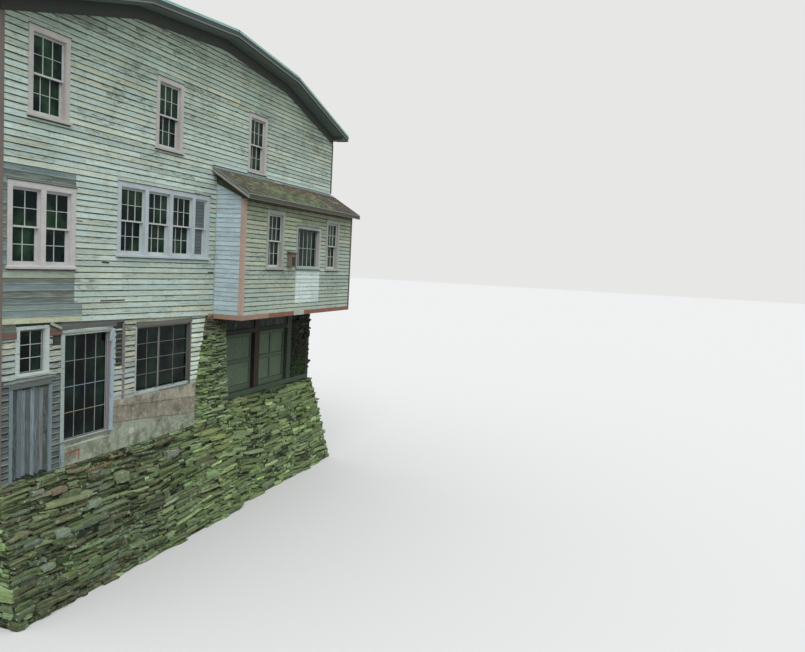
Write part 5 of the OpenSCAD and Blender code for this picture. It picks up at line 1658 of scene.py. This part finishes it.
# Cast concrete: pour marks that slope, stains, cracks and a round patch
concrete = {
    "lines": ((3.54, -0.069), (3.19, -0.096)), "from": 3.7, "lineWide": 0.01, "patch": (3.79, 2.95),
    "patchWide": 0.1, "patchHigh": 0.08, "top": seen(188, 184, 164), "middle": seen(164, 158, 142),
    "low": seen(170, 182, 162), "stain": seen(100, 98, 84), "crack": seen(50, 50, 42),
    "bright": seen(206, 204, 180), "patchTone": seen(206, 208, 200),
}


def concreteMaterial():
    material, tree, shader, place = newMaterial("castConcrete", 0.92, 0.2)
    spread = axes(tree, place)
    along = minus(tree, spread["X"], mill["left"])
    height = plus(tree, spread["Z"], swing(tree, noise(tree, place, 3.0), 0.08))
    cloud = noise(tree, place, 2.4, 6.0, 0.65)
    bright = noise(tree, place, 7.0, 6.0, 0.7)
    drip = noise(tree, stretch(tree, place, (4.0, 4.0, 1.6)), 1.0, 6.0, 0.65)
    ridges = noise(tree, place, 1.7, 6.0, 0.7)
    grit = noise(tree, place, 40.0, 5.0, 0.7)
    lines = []
    for start, fall in concrete["lines"]:
        rise = times(tree, minus(tree, along, concrete["from"]), -fall)
        lines.append(minus(tree, plus(tree, height, rise), start))
    colour = blendColour(tree, step(tree, lines[0], -0.02, 0.02), concrete["middle"], concrete["top"])
    colour = blendColour(tree, step(tree, lines[1], -0.02, 0.02, 1.0, 0.0), colour, concrete["low"])
    colour = tint(tree, colour, cloud, 0.45, 0.62, 0.75, concrete["stain"])
    colour = tint(tree, colour, bright, 0.52, 0.66, 0.7, concrete["bright"])
    colour = tint(tree, colour, drip, 0.52, 0.7, 0.45, concrete["stain"])
    wide = concrete["lineWide"]
    for value, half, share in ((lines[0], wide, 0.55), (lines[1], wide, 0.55),
                               (minus(tree, ridges, 0.5), 0.0035, 0.7)):
        near = maths(tree, "LESS_THAN", maths(tree, "ABSOLUTE", value), half)
        colour = blendColour(tree, times(tree, near, share), colour, concrete["crack"])
    reach = []
    for value, middle, half in ((along, concrete["patch"][0], concrete["patchWide"]),
                                (spread["Z"], concrete["patch"][1], concrete["patchHigh"])):
        part = maths(tree, "DIVIDE", minus(tree, value, middle), half)
        reach.append(times(tree, part, part))
    roundShare = step(tree, plus(tree, reach[0], reach[1]), 0.8, 1.1, 0.9, 0.0)
    colour = blendColour(tree, roundShare, colour, concrete["patchTone"])
    colour = blendColour(tree, step(tree, grit, 0.35, 0.6, 0.4, 0.0), colour, concrete["stain"])
    setFinish(tree, shader, colour, plus(tree, grit, times(tree, cloud, 2.0)), 0.01)
    return material


# near-black core seen between the stones and in the hollows: painted shade of the deep joints, with smaller
# stones packed behind
rubbleInPaintedShade = massMaterial("rubbleInPaintedShade", {"base": seen(30, 34, 26), "second": seen(42, 46, 34),
                                 "deep": seen(16, 18, 14), "beds": seen(82, 92, 68), "relief": 0.02,
                                 "grit": 18.0})
for nodeName in ("river_foundation", "rear_foundation", "stone_pier"):
    dress(nodeName, rubbleInPaintedShade)
dress("basement_floor", massMaterial("floorFlags", {"base": seen(96, 94, 86), "second": seen(120, 116, 104),
                                                    "deep": seen(60, 58, 52)}))
dress("concrete_infill", concreteMaterial())
roofDeck = massMaterial("roofDeck", {"base": seen(100, 110, 106), "second": seen(84, 92, 86),
                                     "deep": seen(66, 72, 66), "under": seen(60, 66, 60), "relief": 0.003,
                                     "grit": 120.0})
for nodeName in ("roof_left_eave_slope", "roof_left_top_slope", "roof_right_top_slope",
                 "roof_right_eave_slope"):
    dress(nodeName, roofDeck)
dress("jetty_roof", massMaterial("shingleDeck", {"base": seen(70, 70, 48), "second": seen(62, 58, 44),
                                                 "deep": seen(40, 38, 30), "under": seen(58, 56, 50),
                                                 "cloud": 2.5}))


# dark panes with paler green clouds: painted reflections
def glassMaterial(name, dark, pale, cover):
    material, tree, shader, place = newMaterial(name, 0.08, 0.08)
    cloud = noise(tree, place, 2.1, 5.0, 0.6)
    colour = blendColour(tree, step(tree, cloud, 0.44, 0.66), dark, pale)
    shader.inputs["Alpha"].default_value = cover
    setFinish(tree, shader, colour, noise(tree, place, 3.0, 2.0), 0.004)
    return material


glass = glassMaterial("oldGlassWithPaintedReflections", seen(14, 30, 32), seen(50, 80, 56), 0.86)
for nodeName in ("river_glass", "jetty_glass", "rear_glass", "side_glass"):
    dress(nodeName, glass)
dress("basement_glass", glassMaterial("dustyGlassWithPaintedReflections", seen(8, 14, 16), seen(28, 52, 44), 0.9))
print("finishes set")


# Floor, light and camera
studio = {
    "floor": (0.66, 0.66, 0.65), "floorBounce": (0.16, 0.165, 0.15), "backdrop": (0.8, 0.8, 0.79),
    "skyLow": (0.78, 0.8, 0.82), "skyHigh": (1.2, 1.22, 1.25), "sun": 1.2, "sunWide": 35,
    "sunTurn": (48, 0, -62),
}
photoCamera = {
    "lens": 34.18, "place": (-17.858, -16.543, 7.038), "right": (0.3134, -0.94824, 0.05129),
    "up": (0.06024, 0.07375, 0.99546), "forward": (0.94771, 0.30888, -0.08024),
}


def directRays(tree):  # 1 where the floor or the backdrop is seen, or seen in a reflection or through glass
    rays = addNode(tree, "ShaderNodeLightPath").outputs
    return maths(tree, "MAXIMUM", maths(tree, "MAXIMUM", rays["Is Camera Ray"], rays["Is Glossy Ray"]),
                 rays["Is Transmission Ray"])


def stageFloor():
    bpy.ops.object.select_all(action="DESELECT")
    bpy.ops.mesh.primitive_plane_add(size=600, location=(0, 0, -0.001))
    floor = bpy.context.object
    floor.name = "paleFloor"
    material, tree, shader, place = newMaterial("paleFloor", 1.0, 0.0)
    tree.links.new(blendColour(tree, directRays(tree), studio["floorBounce"], studio["floor"]),
                   shader.inputs["Base Color"])
    floor.data.materials.append(material)


def stageLight():
    world = bpy.data.worlds.new("softSky")
    bpy.context.scene.world = world
    world.use_nodes = True
    tree = world.node_tree
    sky = tree.nodes["Background"]
    high = axes(tree, addNode(tree, "ShaderNodeTexCoord").outputs["Generated"])["Z"]
    light = blendColour(tree, step(tree, high, 0.0, 1.0), studio["skyLow"], studio["skyHigh"])
    tree.links.new(blendColour(tree, directRays(tree), light, studio["backdrop"]), sky.inputs["Color"])
    sky.inputs["Strength"].default_value = 1.0
    bpy.ops.object.light_add(type="SUN", rotation=[math.radians(v) for v in studio["sunTurn"]])
    sun = bpy.context.object
    sun.name = "softSun"
    sun.data.energy = studio["sun"]
    sun.data.angle = math.radians(studio["sunWide"])


def stageCamera():
    data = bpy.data.cameras.new("photoCamera")
    camera = bpy.data.objects.new("photoCamera", data)
    bpy.context.scene.collection.objects.link(camera)
    data.lens = photoCamera["lens"]
    data.sensor_width = 36.0
    data.clip_end = 500.0
    right, up, forward, place = (photoCamera[key] for key in ("right", "up", "forward", "place"))
    rows = [[right[i], up[i], -forward[i], place[i]] for i in range(3)]
    camera.matrix_world = Matrix([*rows, [0, 0, 0, 1]])
    bpy.context.scene.camera = camera


stageFloor()
stageLight()
stageCamera()
bpy.context.scene.view_settings.view_transform = "Standard"
print("stage set")
